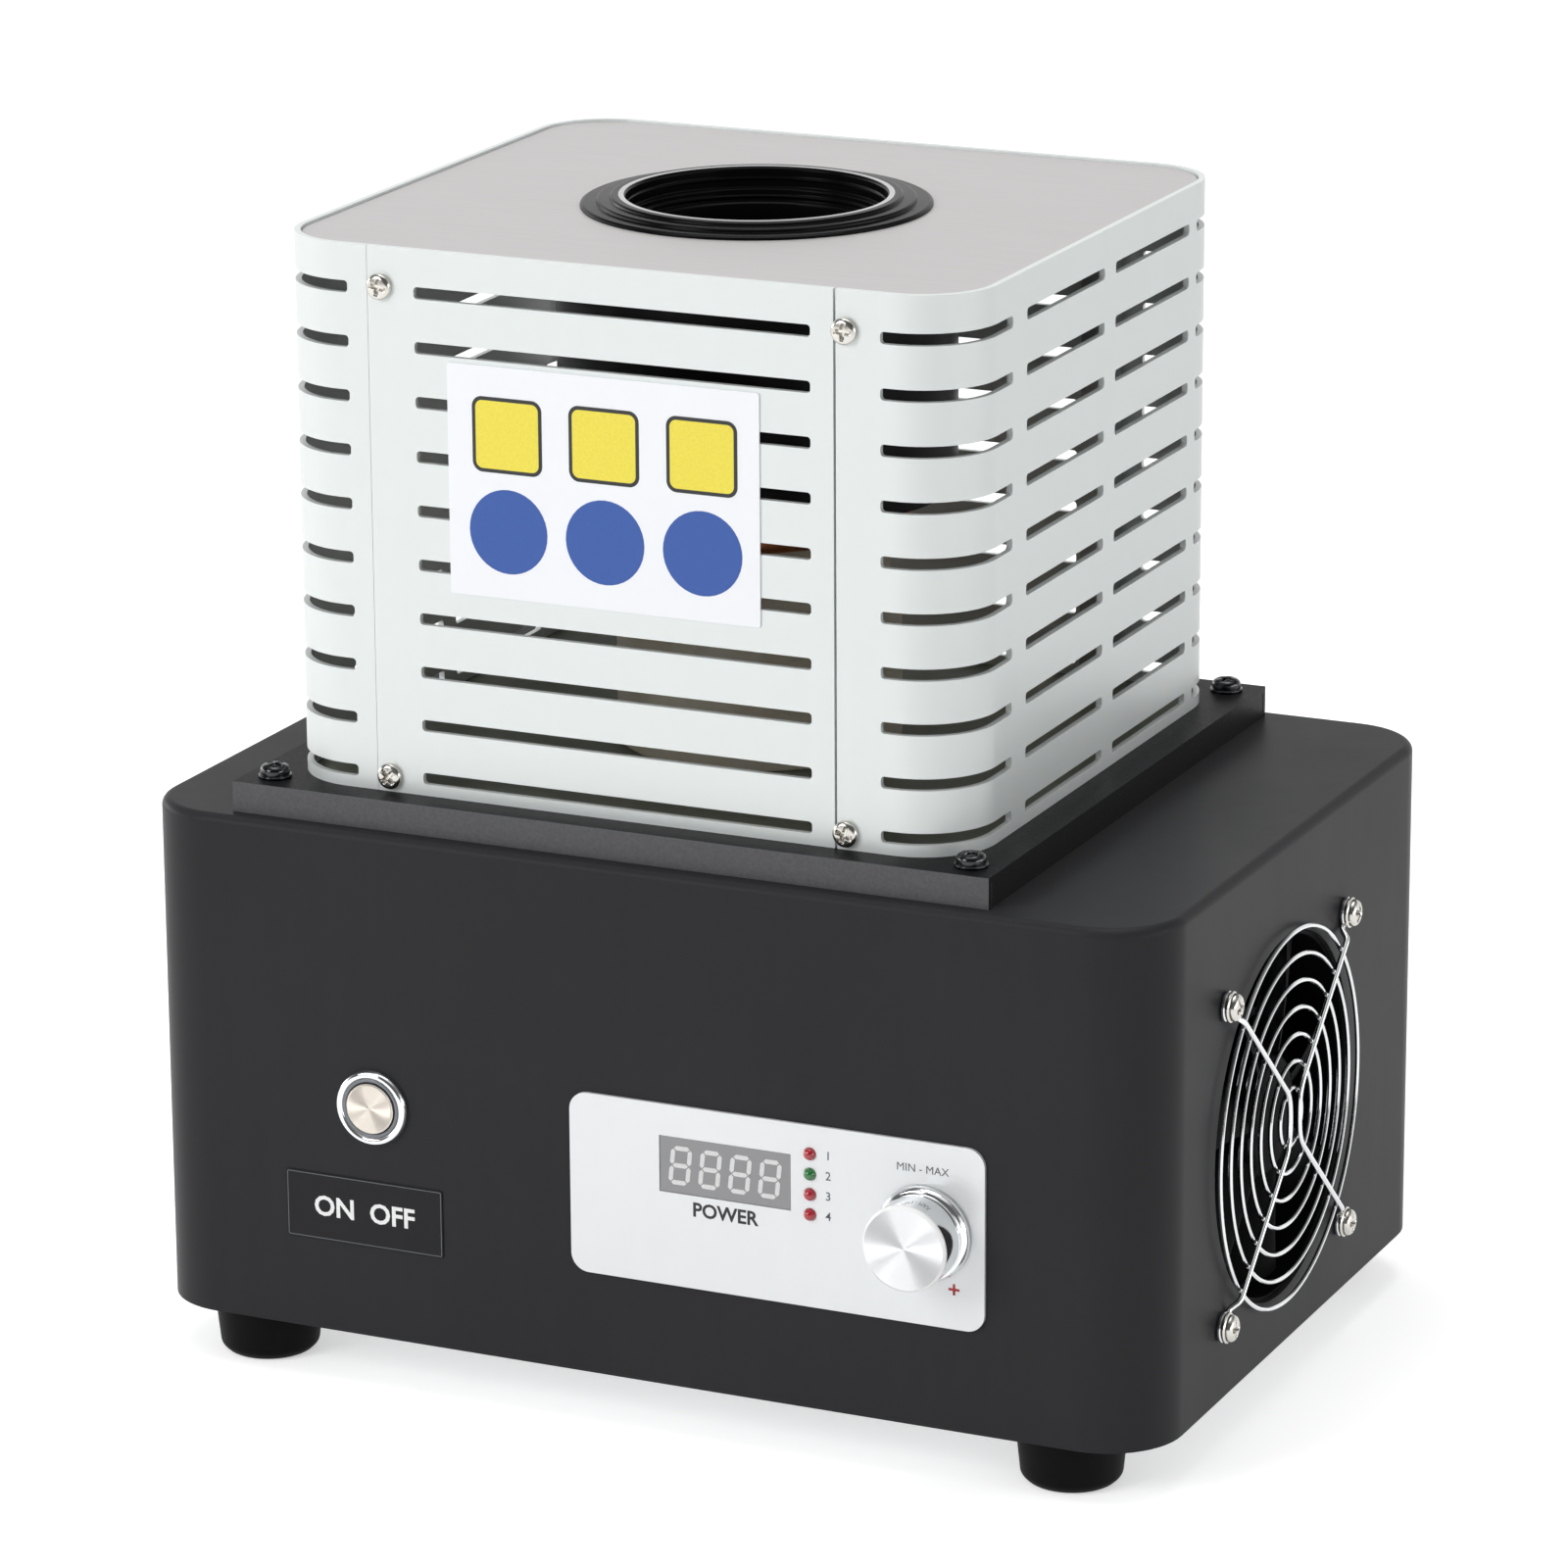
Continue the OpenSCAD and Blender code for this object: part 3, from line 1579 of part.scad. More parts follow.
module crucible() {
    rim_r = crucible_d / 2;
    foot_r = crucible_foot_d / 2;
    hollow_r = rim_r - crucible_wall;
    floor_t = crucible_wall + 2;
    round = 6;
    color("#4b4d50")
        translate([stack_x, 0, seat_top + seat_play])
            rotate_extrude()
                polygon([
                    [0, 0], [foot_r - 3, 0], [foot_r, 3], [rim_r, crucible_h - 1.5],
                    [rim_r - 1.5, crucible_h], [hollow_r + 1.5, crucible_h], [hollow_r, crucible_h - 1.5],
                    [hollow_r - 4, floor_t + round], [hollow_r - 4 - round * 0.3, floor_t + round * 0.3],
                    [hollow_r - 4 - round, floor_t], [0, floor_t]
                ]);
}

base_shell();
bottom_plate();
rubber_feet();
foot_screws();
case_screws();
rear_panel();
power_inlet();
mains_switch_frame();
filler_neck();
mounting_tray();
tray_screws();
cage_shell();
cage_front_panel();
cage_top_plate();
cage_posts();
cage_screws();
cage_label_plate();
collar_ring();
coil_barrel();
refractory_tube();
base_brick();
induction_coil();
coil_bushes();
coil_terminals();
control_faceplate();
display_window();
display_module();
indicator_lamps();
control_board();
board_standoffs();
potentiometer();
panel_nuts();
switch_label_plate();
button_bezel();
button_light_ring();
button_switch_body();
right_fan_frame();
right_fan_guard();
left_fan_frame();
left_fan_guard();
fan_screws();
heat_sink();
power_modules();
inverter_board();
resonant_capacitors();
output_transformer();
radiator();
water_tank();
water_pump();
coolant_pipes();
crucible();
power_knob();
knob_shaft();
button_cap();
mains_rocker();
filler_cap();
right_fan_rotor();
left_fan_rotor();
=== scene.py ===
"""Looks of a bench-top furnace for melting gold.

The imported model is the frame. Its nodes keep their shape and place, get their finish and have their
cut edges rounded. The turned, bent and moulded pieces that show are surfaces worked out with numpy,
and each of those stands for its node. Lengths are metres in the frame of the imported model: X runs
along the front, Y into the depth and Z up, and the origin is on the bench under the middle.
"""

from __future__ import annotations

import logging
import math
from dataclasses import dataclass, field
from enum import Enum
from typing import Any, Iterable, Sequence

import bmesh
import bpy
import numpy as np
from mathutils import Matrix, Vector

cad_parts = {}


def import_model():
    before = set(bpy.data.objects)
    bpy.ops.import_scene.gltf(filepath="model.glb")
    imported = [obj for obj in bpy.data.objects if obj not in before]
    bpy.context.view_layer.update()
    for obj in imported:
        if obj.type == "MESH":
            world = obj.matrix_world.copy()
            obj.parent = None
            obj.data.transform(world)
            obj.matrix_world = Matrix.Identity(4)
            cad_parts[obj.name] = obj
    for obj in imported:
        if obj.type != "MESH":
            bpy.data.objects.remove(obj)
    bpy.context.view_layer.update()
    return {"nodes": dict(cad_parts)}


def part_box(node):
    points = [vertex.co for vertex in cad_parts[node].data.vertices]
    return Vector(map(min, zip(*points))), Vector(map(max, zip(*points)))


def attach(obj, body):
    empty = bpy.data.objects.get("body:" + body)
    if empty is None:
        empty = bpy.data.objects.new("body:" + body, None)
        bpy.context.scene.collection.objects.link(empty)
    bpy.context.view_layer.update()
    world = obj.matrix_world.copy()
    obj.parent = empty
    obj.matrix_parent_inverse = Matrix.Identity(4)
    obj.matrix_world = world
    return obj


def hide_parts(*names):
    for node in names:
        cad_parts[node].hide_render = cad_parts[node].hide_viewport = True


LOG = logging.getLogger("furnace")

Array = np.ndarray
Colour = tuple[float, float, float]
Place = tuple[float, float, float]
Profile = tuple[tuple[float, float], ...]
Socket = bpy.types.NodeSocket
Sockets = dict[str | int, Any]
MM = 0.001
TAU = 2.0 * math.pi
SAME_POINT = 2e-7
# Middle of the cage and of all that stands in it, across the front.
STACK_X = -0.012


# Places and directions


class Side(Enum):
    """The ways that a face of the furnace can look: u and v lie in it, and w points out of it."""

    FRONT = ((1, 0, 0), (0, 0, 1), (0, -1, 0))
    BACK = ((-1, 0, 0), (0, 0, 1), (0, 1, 0))
    RIGHT = ((0, 1, 0), (0, 0, 1), (1, 0, 0))
    LEFT = ((0, -1, 0), (0, 0, 1), (-1, 0, 0))
    TOP = ((1, 0, 0), (0, 1, 0), (0, 0, 1))

    def place(self, points: Array, origin: Sequence[float]) -> Array:
        """Carries points from the face's own axes into the furnace's.

        Args:
            points: An array whose last axis holds u, v and w.
            origin: Where the face's zero lies, in metres.

        Returns:
            The points in the frame of the furnace.
        """
        return points @ np.array(self.value, float) + np.asarray(origin, float)


def middle(node: str) -> Array:
    """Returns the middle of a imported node's box, in metres."""
    low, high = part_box(node)
    return (np.array(low) + np.array(high)) / 2


def front(node: str) -> Array:
    """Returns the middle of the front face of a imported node's box, in metres."""
    x, _, z = middle(node)
    return np.array([x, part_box(node)[0].y, z])


# Surfaces


def unit(vectors: Array) -> Array:
    """Scales vectors to length one, along the last axis."""
    return vectors / np.maximum(np.linalg.norm(vectors, axis=-1, keepdims=True), 1e-12)


def softened(corners: Array, radii: float | Array, steps: int = 4, closed: bool = False) -> Array:
    """Rounds the corners of a line of points.

    A corner b between a and c is cut back by its radius towards both, to p and q, and the curve
    (1-t)^2 p + 2t(1-t) b + t^2 q runs between them.

    Args:
        corners: The corner points, one row each.
        radii: How far each corner is cut back, one value for all or one each.
        steps: Stretches in each rounded corner.
        closed: Whether the line comes back to its first corner.

    Returns:
        The points of the rounded line.
    """
    corners = np.asarray(corners, float)
    before, after = np.roll(corners, 1, axis=0), np.roll(corners, -1, axis=0)
    cut = np.broadcast_to(np.asarray(radii, float), len(corners)).copy()
    if not closed:
        cut[[0, -1]] = 0.0
    room = np.minimum(
        np.linalg.norm(before - corners, axis=1), np.linalg.norm(after - corners, axis=1)
    )
    cut = np.minimum(cut, 0.499 * room)[:, None]
    p, q = corners + cut * unit(before - corners), corners + cut * unit(after - corners)
    t = np.linspace(0.0, 1.0, steps + 1)[None, :, None]
    arcs = (1 - t) ** 2 * p[:, None] + 2 * t * (1 - t) * corners[:, None] + t**2 * q[:, None]
    line = arcs.reshape(-1, corners.shape[1])
    if not closed:
        line = line[steps : len(line) - steps]
    keep = np.linalg.norm(np.diff(line, axis=0, append=line[:1]), axis=1) > 1e-9
    if not closed:
        keep[-1] = True
    return line[keep]


def polar(radius: float | Array, angle: Array, height: float | Array = 0.0) -> Array:
    """Returns the points at a radius, an angle and a height, as u, v and w along the last axis."""
    sides = radius * np.cos(angle), radius * np.sin(angle), height
    return np.stack(np.broadcast_arrays(*sides), axis=-1)


def revolved(profile: Array, steps: int) -> Array:
    """Turns a profile round the w axis.

    A profile point (r, h) at the angle a lies at (r cos a, r sin a, h). The profile runs up the
    outside, so that the surface faces outwards.

    Args:
        profile: Radius and height of each point.
        steps: Points round the circle.

    Returns:
        A grid of points: one row for each profile point, one column for each angle.
    """
    angle = np.linspace(0.0, TAU, steps, endpoint=False)
    return polar(profile[:, :1], angle, profile[:, 1:2])


def stacked_outlines(width: float, depth: float, radius: float, profile: Array, arc: int) -> Array:
    """Carries a profile round a rectangle with round corners.

    A profile point (inset, height) makes the outline of a rectangle that is smaller by the inset
    on all sides, with its corner arcs about centres that keep the same straight stretches.

    Args:
        width: Outer size along u.
        depth: Outer size along v.
        radius: Corner radius of the outer outline.
        profile: Inset and height of each point, running up the outside.
        arc: Stretches in each corner.

    Returns:
        A grid of points: one row for each profile point, one column along the outline.
    """
    inset, height = profile[:, 0][:, None], profile[:, 1][:, None]
    rounding = np.maximum(radius - inset, 1e-5)
    half_u, half_v = width / 2 - inset - rounding, depth / 2 - inset - rounding
    quarter = np.arange(4).repeat(arc + 1)
    angle = quarter * TAU / 4 + np.tile(np.linspace(0, TAU / 4, arc + 1), 4)
    sign_u, sign_v = np.array([1, -1, -1, 1])[quarter], np.array([1, 1, -1, -1])[quarter]
    centres = np.stack([sign_u * half_u, sign_v * half_v, 0 * half_u + 0 * angle], axis=-1)
    return centres + polar(rounding, angle, height)


def tube(path: Array, radius: float, sides: int, towards: Array, closed: bool = False) -> Array:
    """Carries a circle along a path.

    At each point the circle stands across the path's direction t. Its first axis is the part of a
    given direction that is square to t, and its second is the cross product of t with the first.

    Args:
        path: Points of the middle line.
        radius: Radius of the tube.
        sides: Points round it.
        towards: A direction, or one for each point, that is never along the path.
        closed: Whether the path comes back to its start.

    Returns:
        A grid of points: one row for each path point, one column round the tube.
    """
    if closed:
        along = unit(np.roll(path, -1, axis=0) - np.roll(path, 1, axis=0))
    else:
        along = unit(np.gradient(path, axis=0))
    towards = np.broadcast_to(np.asarray(towards, float), path.shape)
    first = unit(towards - np.sum(towards * along, axis=1, keepdims=True) * along)
    second = np.cross(along, first)
    angle = -np.linspace(0.0, TAU, sides, endpoint=False)[None, :, None]
    ring = np.cos(angle) * first[:, None] + np.sin(angle) * second[:, None]
    return path[:, None] + radius * ring


def linked(name: str, data: bpy.types.ID) -> bpy.types.Object:
    """Makes an object of some data and links it to the scene."""
    made = bpy.data.objects.new(name, data)
    bpy.context.scene.collection.objects.link(made)
    return made


@dataclass
class Mesh:
    """Collects grids and flat polygons, each with a material slot, and makes one Blender mesh."""

    points: list[Array] = field(default_factory=list)
    rings: list[Array] = field(default_factory=list)
    slots: list[int] = field(default_factory=list)
    uvs: list[Array] = field(default_factory=list)
    count: int = 0

    def _add_points(self, points: Array) -> int:
        """Adds points and returns the number of the first."""
        start = self.count
        self.points.append(points.reshape(-1, 3))
        self.count += len(self.points[-1])
        return start

    def grid(
        self, grid: Array, wrap_rows: bool = False, caps: bool = False, slot: int = 0
    ) -> Mesh:
        """Adds a grid of points as four-sided faces. Its last column joins its first.

        The corners of the face in row i and column j are the points (i, j), (i, j+1), (i+1, j+1)
        and (i+1, j), worked out for all faces at once. The UV map holds the column and the row as
        shares of the whole.

        Args:
            grid: Points in rows and columns.
            wrap_rows: Whether the last row joins the first.
            caps: Whether the first and last rows are closed with a flat face.
            slot: Material slot of the faces.

        Returns:
            This mesh.
        """
        rows, columns = grid.shape[:2]
        start = self._add_points(grid)
        i = np.arange(rows if wrap_rows else rows - 1)[:, None]
        j = np.arange(columns)[None, :]
        i2, j2 = (i + 1) % rows, (j + 1) % columns
        faces = start + np.stack(
            [i * columns + j, i * columns + j2, i2 * columns + j2, i2 * columns + j], axis=-1
        ).reshape(-1, 4)
        self.rings.extend(faces)
        self.slots.extend([slot] * len(faces))
        du, dv = 1 / columns, 1 / max(rows - 1, 1)
        u, v = j * du + 0.0 * i, i * dv + 0.0 * j
        uvs = np.stack([u, v, u + du, v, u + du, v + dv, u, v + dv], axis=-1)
        self.uvs.extend(uvs.reshape(-1, 4, 2))
        if caps:
            around = start + np.arange(columns)
            self._add_face(around[::-1], slot)
            self._add_face(around + (rows - 1) * columns, slot)
        return self

    def _add_face(self, ring: Array, slot: int) -> None:
        """Adds one flat face through points that the mesh has, with nothing in its UV map."""
        self.rings.append(ring)
        self.slots.append(slot)
        self.uvs.append(np.zeros((len(ring), 2)))

    def polygon(self, ring: Array) -> Mesh:
        """Adds one flat face through new points, which run anticlockwise seen from outside."""
        self._add_face(self._add_points(ring) + np.arange(len(ring)), 0)
        return self

    def build(self, name: str, *finishes: Finish, sharp: float = 35.0) -> bpy.types.Object:
        """Makes the Blender object.

        Args:
            name: Name of the object.
            finishes: Finishes in the order of the slots.
            sharp: Angle in degrees above which an edge stays sharp in the shading.

        Returns:
            The object, at the origin, with its place in its mesh.
        """
        data = bpy.data.meshes.new(name)
        points = np.concatenate(self.points)
        lengths = np.array([len(ring) for ring in self.rings], np.int32)
        corners = np.concatenate(self.rings).astype(np.int32)
        data.vertices.add(len(points))
        data.vertices.foreach_set("co", points.astype(np.float32).ravel())
        data.loops.add(len(corners))
        data.loops.foreach_set("vertex_index", corners)
        data.polygons.add(len(lengths))
        starts = np.concatenate([[0], np.cumsum(lengths)[:-1]]).astype(np.int32)
        data.polygons.foreach_set("loop_start", starts)
        data.polygons.foreach_set("material_index", np.array(self.slots, np.int32))
        uv = data.uv_layers.new(name="along")
        uv.data.foreach_set("uv", np.concatenate(self.uvs).astype(np.float32).ravel())
        data.update(calc_edges=True)
        data.validate()
        merged = bmesh.new()
        merged.from_mesh(data)
        bmesh.ops.remove_doubles(merged, verts=merged.verts, dist=SAME_POINT)
        merged.to_mesh(data)
        merged.free()
        data.polygons.foreach_set("use_smooth", np.ones(len(data.polygons), bool))
        data.set_sharp_from_angle(angle=math.radians(sharp))
        for finish in finishes:
            data.materials.append(finish.make())
        return linked(name, data)


def pan_head(radius: float, height: float, turn: float) -> Array:
    """Works out a screw's pan head with a cross recess.

    The head is a height over polar coordinates: straight sides, a shoulder that is a quarter of an
    ellipse, and a crown that is nearly flat. The recess is taken off it: its depth falls with the
    smaller of |x| and |y|, which is the distance from an arm, and ends with the larger, which is
    the distance along it.

    Args:
        radius: Radius of the head.
        height: Height of the head.
        turn: Angle of the cross, in radians.

    Returns:
        A grid that starts at the head's foot and ends in its middle.
    """
    rows, columns = 22, 64
    shoulder, straight, crown = 0.42 * radius, 0.42, 0.92
    flat = radius - shoulder
    phi = np.linspace(0.0, TAU / 4, 7)[1:]
    inner = np.linspace(1.0, 0.0, rows)[1:]
    r = np.concatenate([[radius, radius], flat + shoulder * np.cos(phi), flat * inner])
    sides, bend = [0.0, straight], straight + (crown - straight) * np.sin(phi)
    h = height * np.concatenate([sides, bend, crown + (1 - crown) * (1 - inner**2)])
    angle = np.linspace(0.0, TAU, columns, endpoint=False)
    x, y = r[:, None] * np.cos(angle), r[:, None] * np.sin(angle)
    xr, yr = x * math.cos(turn) - y * math.sin(turn), x * math.sin(turn) + y * math.cos(turn)
    across, along = np.minimum(abs(xr), abs(yr)), np.maximum(abs(xr), abs(yr))
    half_arm, arm_wall, arm_end, end_wall, deepest = 0.2, 0.11, 0.62, 0.2, 0.6
    arm = np.clip((half_arm * radius - across) / (arm_wall * radius), 0, 1)
    reach = np.clip((arm_end * radius - along) / (end_wall * radius), 0, 1)
    sunk = deepest * height * arm * arm * (3 - 2 * arm) * reach
    return np.stack([x, y, h[:, None] - sunk], axis=-1)


# Material graphs


@dataclass
class Nodes:
    """A node tree that is built a node at a time."""

    tree: bpy.types.NodeTree

    def node(self, kind: str, sockets: Sockets | None = None, **settings: Any) -> bpy.types.Node:
        """Adds a node.

        Args:
            kind: Blender's name for this kind of node.
            sockets: What goes into it: for each input another node's output or a plain value.
            settings: Its other settings.

        Returns:
            The node.
        """
        made = self.tree.nodes.new(kind)
        for key, value in settings.items():
            setattr(made, key, value)
        for key, value in (sockets or {}).items():
            self.join(value, made.inputs[key])
        return made

    def join(self, source: Any, target: Socket) -> None:
        """Links a socket to another, or sets the other to a plain value."""
        if isinstance(source, Socket):
            self.tree.links.new(source, target)
        else:
            target.default_value = source

    def object_point(self, stretch: Sequence[float] = (1, 1, 1)) -> Socket:
        """Gives the point in the furnace's frame, stretched by a factor for each axis."""
        point = self.node("ShaderNodeTexCoord").outputs["Object"]
        return self.node("ShaderNodeMapping", {"Vector": point, "Scale": stretch}).outputs["Vector"]

    def parts(self, vector: Socket) -> Sequence[Socket]:
        """Splits a vector into its three numbers."""
        return self.node("ShaderNodeSeparateXYZ", {"Vector": vector}).outputs

    def noise(self, point: Any, scale: float, detail: float = 2.0, rough: float = 0.5) -> Socket:
        """Adds a noise texture and returns its factor."""
        sockets = {"Vector": point, "Scale": scale, "Detail": detail, "Roughness": rough}
        return self.node("ShaderNodeTexNoise", sockets).outputs["Fac"]

    def cells(self, point: Any, scale: float, feature: str = "F1") -> Socket:
        """Adds a Voronoi texture and returns its distance."""
        made = self.node("ShaderNodeTexVoronoi", {"Vector": point, "Scale": scale}, feature=feature)
        return made.outputs["Distance"]

    def math(self, operation: str, first: Any, second: Any = 0.0) -> Socket:
        """Adds a math node."""
        return self.node("ShaderNodeMath", {0: first, 1: second}, operation=operation).outputs[0]

    def span(
        self, value: Any, low: float, high: float, to_low: float = 0.0, to_high: float = 1.0,
        kind: str = "LINEAR",
    ) -> Socket:
        """Maps a value from one span to another and keeps it inside."""
        sockets = {
            "Value": value, "From Min": low, "From Max": high, "To Min": to_low, "To Max": to_high,
        }
        made = self.node("ShaderNodeMapRange", sockets, clamp=True, interpolation_type=kind)
        return made.outputs["Result"]

    def blend(self, share: Any, first: Any, second: Any) -> Socket:
        """Mixes two colours by a share between zero and one."""
        first, second = ((*c, 1.0) if isinstance(c, tuple) else c for c in (first, second))
        sockets = {"Factor": share, 6: first, 7: second}
        return self.node("ShaderNodeMix", sockets, data_type="RGBA").outputs[2]

    def shades(self, share: Any, colour: Colour, low: float, high: float) -> Socket:
        """Mixes two shades of one colour, each given as a factor."""
        return self.blend(share, tinted(colour, low), tinted(colour, high))

    def bump(self, height: Any, depth: float, strength: float = 1.0, under: Any = None) -> Socket:
        """Turns a height into a normal.

        Args:
            height: Value between zero and one.
            depth: What one stands for, in metres.
            strength: Share of the effect.
            under: A normal that this one is laid over, if any.

        Returns:
            The normal socket.
        """
        sockets = {"Strength": strength, "Distance": depth, "Height": height}
        if under is not None:
            sockets["Normal"] = under
        return self.node("ShaderNodeBump", sockets).outputs["Normal"]


class Graph(Nodes):
    """The node tree of a new material, with one shader."""

    def __init__(self, name: str) -> None:
        """Makes the empty material, its shader and its output."""
        self.material = bpy.data.materials.new(name)
        self.material.use_nodes = True
        super().__init__(self.material.node_tree)
        self.tree.nodes.clear()
        self.shader = self.node("ShaderNodeBsdfPrincipled")
        self.node("ShaderNodeOutputMaterial", {"Surface": self.shader.outputs["BSDF"]})

    def shade(self, sockets: Sockets) -> None:
        """Sets the shader's sockets by name, with _ for a space."""
        for key, value in sockets.items():
            wide = isinstance(value, tuple) and len(value) == 3
            self.join((*value, 1.0) if wide else value, self.shader.inputs[key.replace("_", " ")])


def tinted(colour: Colour, factor: float) -> Colour:
    """Makes a colour lighter or darker by a factor, kept below one."""
    return tuple(min(c * factor, 1.0) for c in colour)


def srgb(code: str) -> Colour:
    """Turns a hex colour as it is seen on a screen into the linear numbers that a shader takes."""
    seen = np.array([int(code[i : i + 2], 16) for i in (0, 2, 4)]) / 255.0
    linear = np.where(seen <= 0.04045, seen / 12.92, ((seen + 0.055) / 1.055) ** 2.4)
    return tuple(float(c) for c in linear)


# Finishes


@dataclass(frozen=True)
class Finish:
    """What every finish has: a name, a colour as it is seen on a screen, and a roughness."""

    name: str
    code: str
    roughness: float

    @property
    def colour(self) -> Colour:
        """The colour in the linear numbers that a shader takes."""
        return srgb(self.code)

    def make(self) -> bpy.types.Material:
        """Returns this finish's material, made on first use."""
        found = bpy.data.materials.get(self.name)
        if found is None:
            graph = Graph(self.name)
            graph.shade(self.sockets(graph))
            found = graph.material
            found.diffuse_color = (*self.colour, 1.0)
        return found

    def sockets(self, g: Graph) -> Sockets:
        """Builds the nodes and says what each socket of the shader takes."""
        raise NotImplementedError


@dataclass(frozen=True)
class Coat(Finish):
    """Paint, powder coat, moulded plastic or rubber.

    A coarse noise varies the colour and the gloss by a few per cent, and a fine one raises the
    grain of the coat.
    """

    grain: float = 1600.0
    depth: float = 0.00002
    mottle: float = 0.06
    metallic: float = 0.0
    clear: float = 0.0
    specular: float = 0.5

    def sockets(self, g: Graph) -> Sockets:
        """Builds the nodes."""
        point = g.object_point()
        cloud = g.noise(point, 14.0, 3.0, 0.6)
        streaks = g.noise(g.object_point((1, 1, 0.15)), 130.0, 4.0, 0.6)
        share = g.math("ADD", g.math("MULTIPLY", cloud, 0.6), g.math("MULTIPLY", streaks, 0.4))
        rougher = min(self.roughness * 1.1, 1.0)
        return dict(
            Base_Color=g.shades(
                g.span(share, 0.35, 0.65), self.colour, 1 - self.mottle, 1 + self.mottle
            ),
            Roughness=g.span(share, 0.3, 0.7, self.roughness * 0.92, rougher),
            Metallic=self.metallic,
            Specular_IOR_Level=self.specular,
            Coat_Weight=self.clear,
            Coat_Roughness=0.12,
            Normal=g.bump(g.noise(point, self.grain, 2.0, 0.55), self.depth),
        )


@dataclass(frozen=True)
class TrayCoat(Finish):
    """The tray's coat: smooth black, but grainy grey on its front and back flanges. The lighter
    flanges
    are painted light: they are a lit shade of the same coat.

    Inside the cage a pale, cloudy patch is painted on the coat as painted light, where the inside is
    otherwise unlit. Where each shows follows from the surface's own direction and place: the patch
    ends on the cage's rounded outline, whose distance is worked out as for a rectangle with round
    corners.
    """

    flange: str
    dust: str
    specular: float = 0.1
    corner: float = 0.024

    def outside(self, g: Graph, point: Socket) -> Socket:
        """Gives the distance from the middles of the cage's corner arcs, and zero between them."""
        low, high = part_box("cage_shell")
        squares = []
        for value, near, far in zip(g.parts(point), low, high[:2]):
            away = g.math("ABSOLUTE", g.math("SUBTRACT", value, 0.5 * (near + far)))
            straight = 0.5 * (far - near) - self.corner
            past = g.math("MAXIMUM", g.math("SUBTRACT", away, straight), 0.0)
            squares.append(g.math("POWER", past, 2.0))
        return g.math("SQRT", g.math("ADD", *squares))

    def sockets(self, g: Graph) -> Sockets:
        """Builds the nodes."""
        point = g.object_point()
        speckle = g.noise(point, 900.0, 3.0, 0.7)
        facing = g.parts(g.node("ShaderNodeTexCoord").outputs["Normal"])["Y"]
        # Painted light: the front and back faces are painted a lighter shade than the top and sides.
        flange_painted_light = g.span(g.math("ABSOLUTE", facing), 0.5, 0.8)
        flange = g.shades(speckle, srgb(self.flange), 0.7, 1.3)
        # Painted light: a pale, cloudy patch on the coat inside the cage, lifting what is otherwise
        # unlit.
        cage_painted_light_share = g.span(self.outside(g, point), self.corner - 0.003, self.corner - 0.002, 1.0, 0.0)
        cloud = g.span(g.noise(point, 30.0, 3.0, 0.6), 0.35, 0.65)
        dust = g.shades(cloud, srgb(self.dust), 0.85, 1.0)
        return dict(
            Base_Color=g.blend(cage_painted_light_share, g.blend(flange_painted_light, self.colour, flange), dust),
            Roughness=g.span(speckle, 0.3, 0.7, self.roughness * 0.9, self.roughness * 1.1),
            Specular_IOR_Level=self.specular,
            Normal=g.bump(speckle, 0.00006),
        )


@dataclass(frozen=True)
class Brushed(Finish):
    """Metal sheet brushed along one axis: noise drawn out along it varies gloss and height."""

    stretch: tuple[float, float, float]
    streak: float = 0.08
    metallic: float = 0.85

    def sockets(self, g: Graph) -> Sockets:
        """Builds the nodes."""
        lines = g.noise(g.object_point(self.stretch), 900.0, 3.0, 0.6)
        cloud = g.noise(g.object_point(), 9.0)
        share = g.math("ADD", g.math("MULTIPLY", lines, 0.5), g.math("MULTIPLY", cloud, 0.5))
        return dict(
            Base_Color=g.shades(share, self.colour, 1 - self.streak, 1 + self.streak),
            Metallic=self.metallic,
            Roughness=g.span(lines, 0.3, 0.7, self.roughness * 0.85, self.roughness * 1.15),
            Normal=g.bump(lines, 0.000008),
        )


@dataclass(frozen=True)
class Turned(Finish):
    """Metal turned on a lathe: rings of fine grooves, and gloss drawn out across them.

    The UV map runs round the piece along its first axis, so the tangent does too, and anisotropy
    spreads each reflection across the grooves into the bright fans that turned metal shows.
    """

    rings: float = 272.0

    def sockets(self, g: Graph) -> Sockets:
        """Builds the nodes."""
        along = g.node("ShaderNodeUVMap", uv_map="along").outputs["UV"]
        point = g.node("ShaderNodeMapping", {"Vector": along, "Scale": (2.0, self.rings, 1.0)})
        grooves = g.noise(point.outputs["Vector"], 1.0, 3.0, 0.7)
        tangent = g.node("ShaderNodeTangent", direction_type="UV_MAP", uv_map="along")
        return dict(
            Base_Color=g.shades(grooves, self.colour, 0.9, 1.06),
            Metallic=1.0,
            Roughness=g.span(grooves, 0.3, 0.7, self.roughness * 0.85, self.roughness * 1.2),
            Anisotropic=0.95,
            Tangent=tangent.outputs["Tangent"],
            Normal=g.bump(grooves, 0.000006),
        )


@dataclass(frozen=True)
class Plated(Finish):
    """Chrome or nickel plate: nearly even, with a faint haze and a slow waviness."""

    haze: float = 0.05

    def sockets(self, g: Graph) -> Sockets:
        """Builds the nodes."""
        point = g.object_point()
        haze = g.noise(point, 220.0, 4.0, 0.65)
        return dict(
            Base_Color=g.shades(haze, self.colour, 0.94, 1.0),
            Metallic=1.0,
            Roughness=g.span(haze, 0.35, 0.7, self.roughness, self.roughness + self.haze),
            Normal=g.bump(g.noise(point, 90.0, 1.0), 0.00004, 0.35),
        )


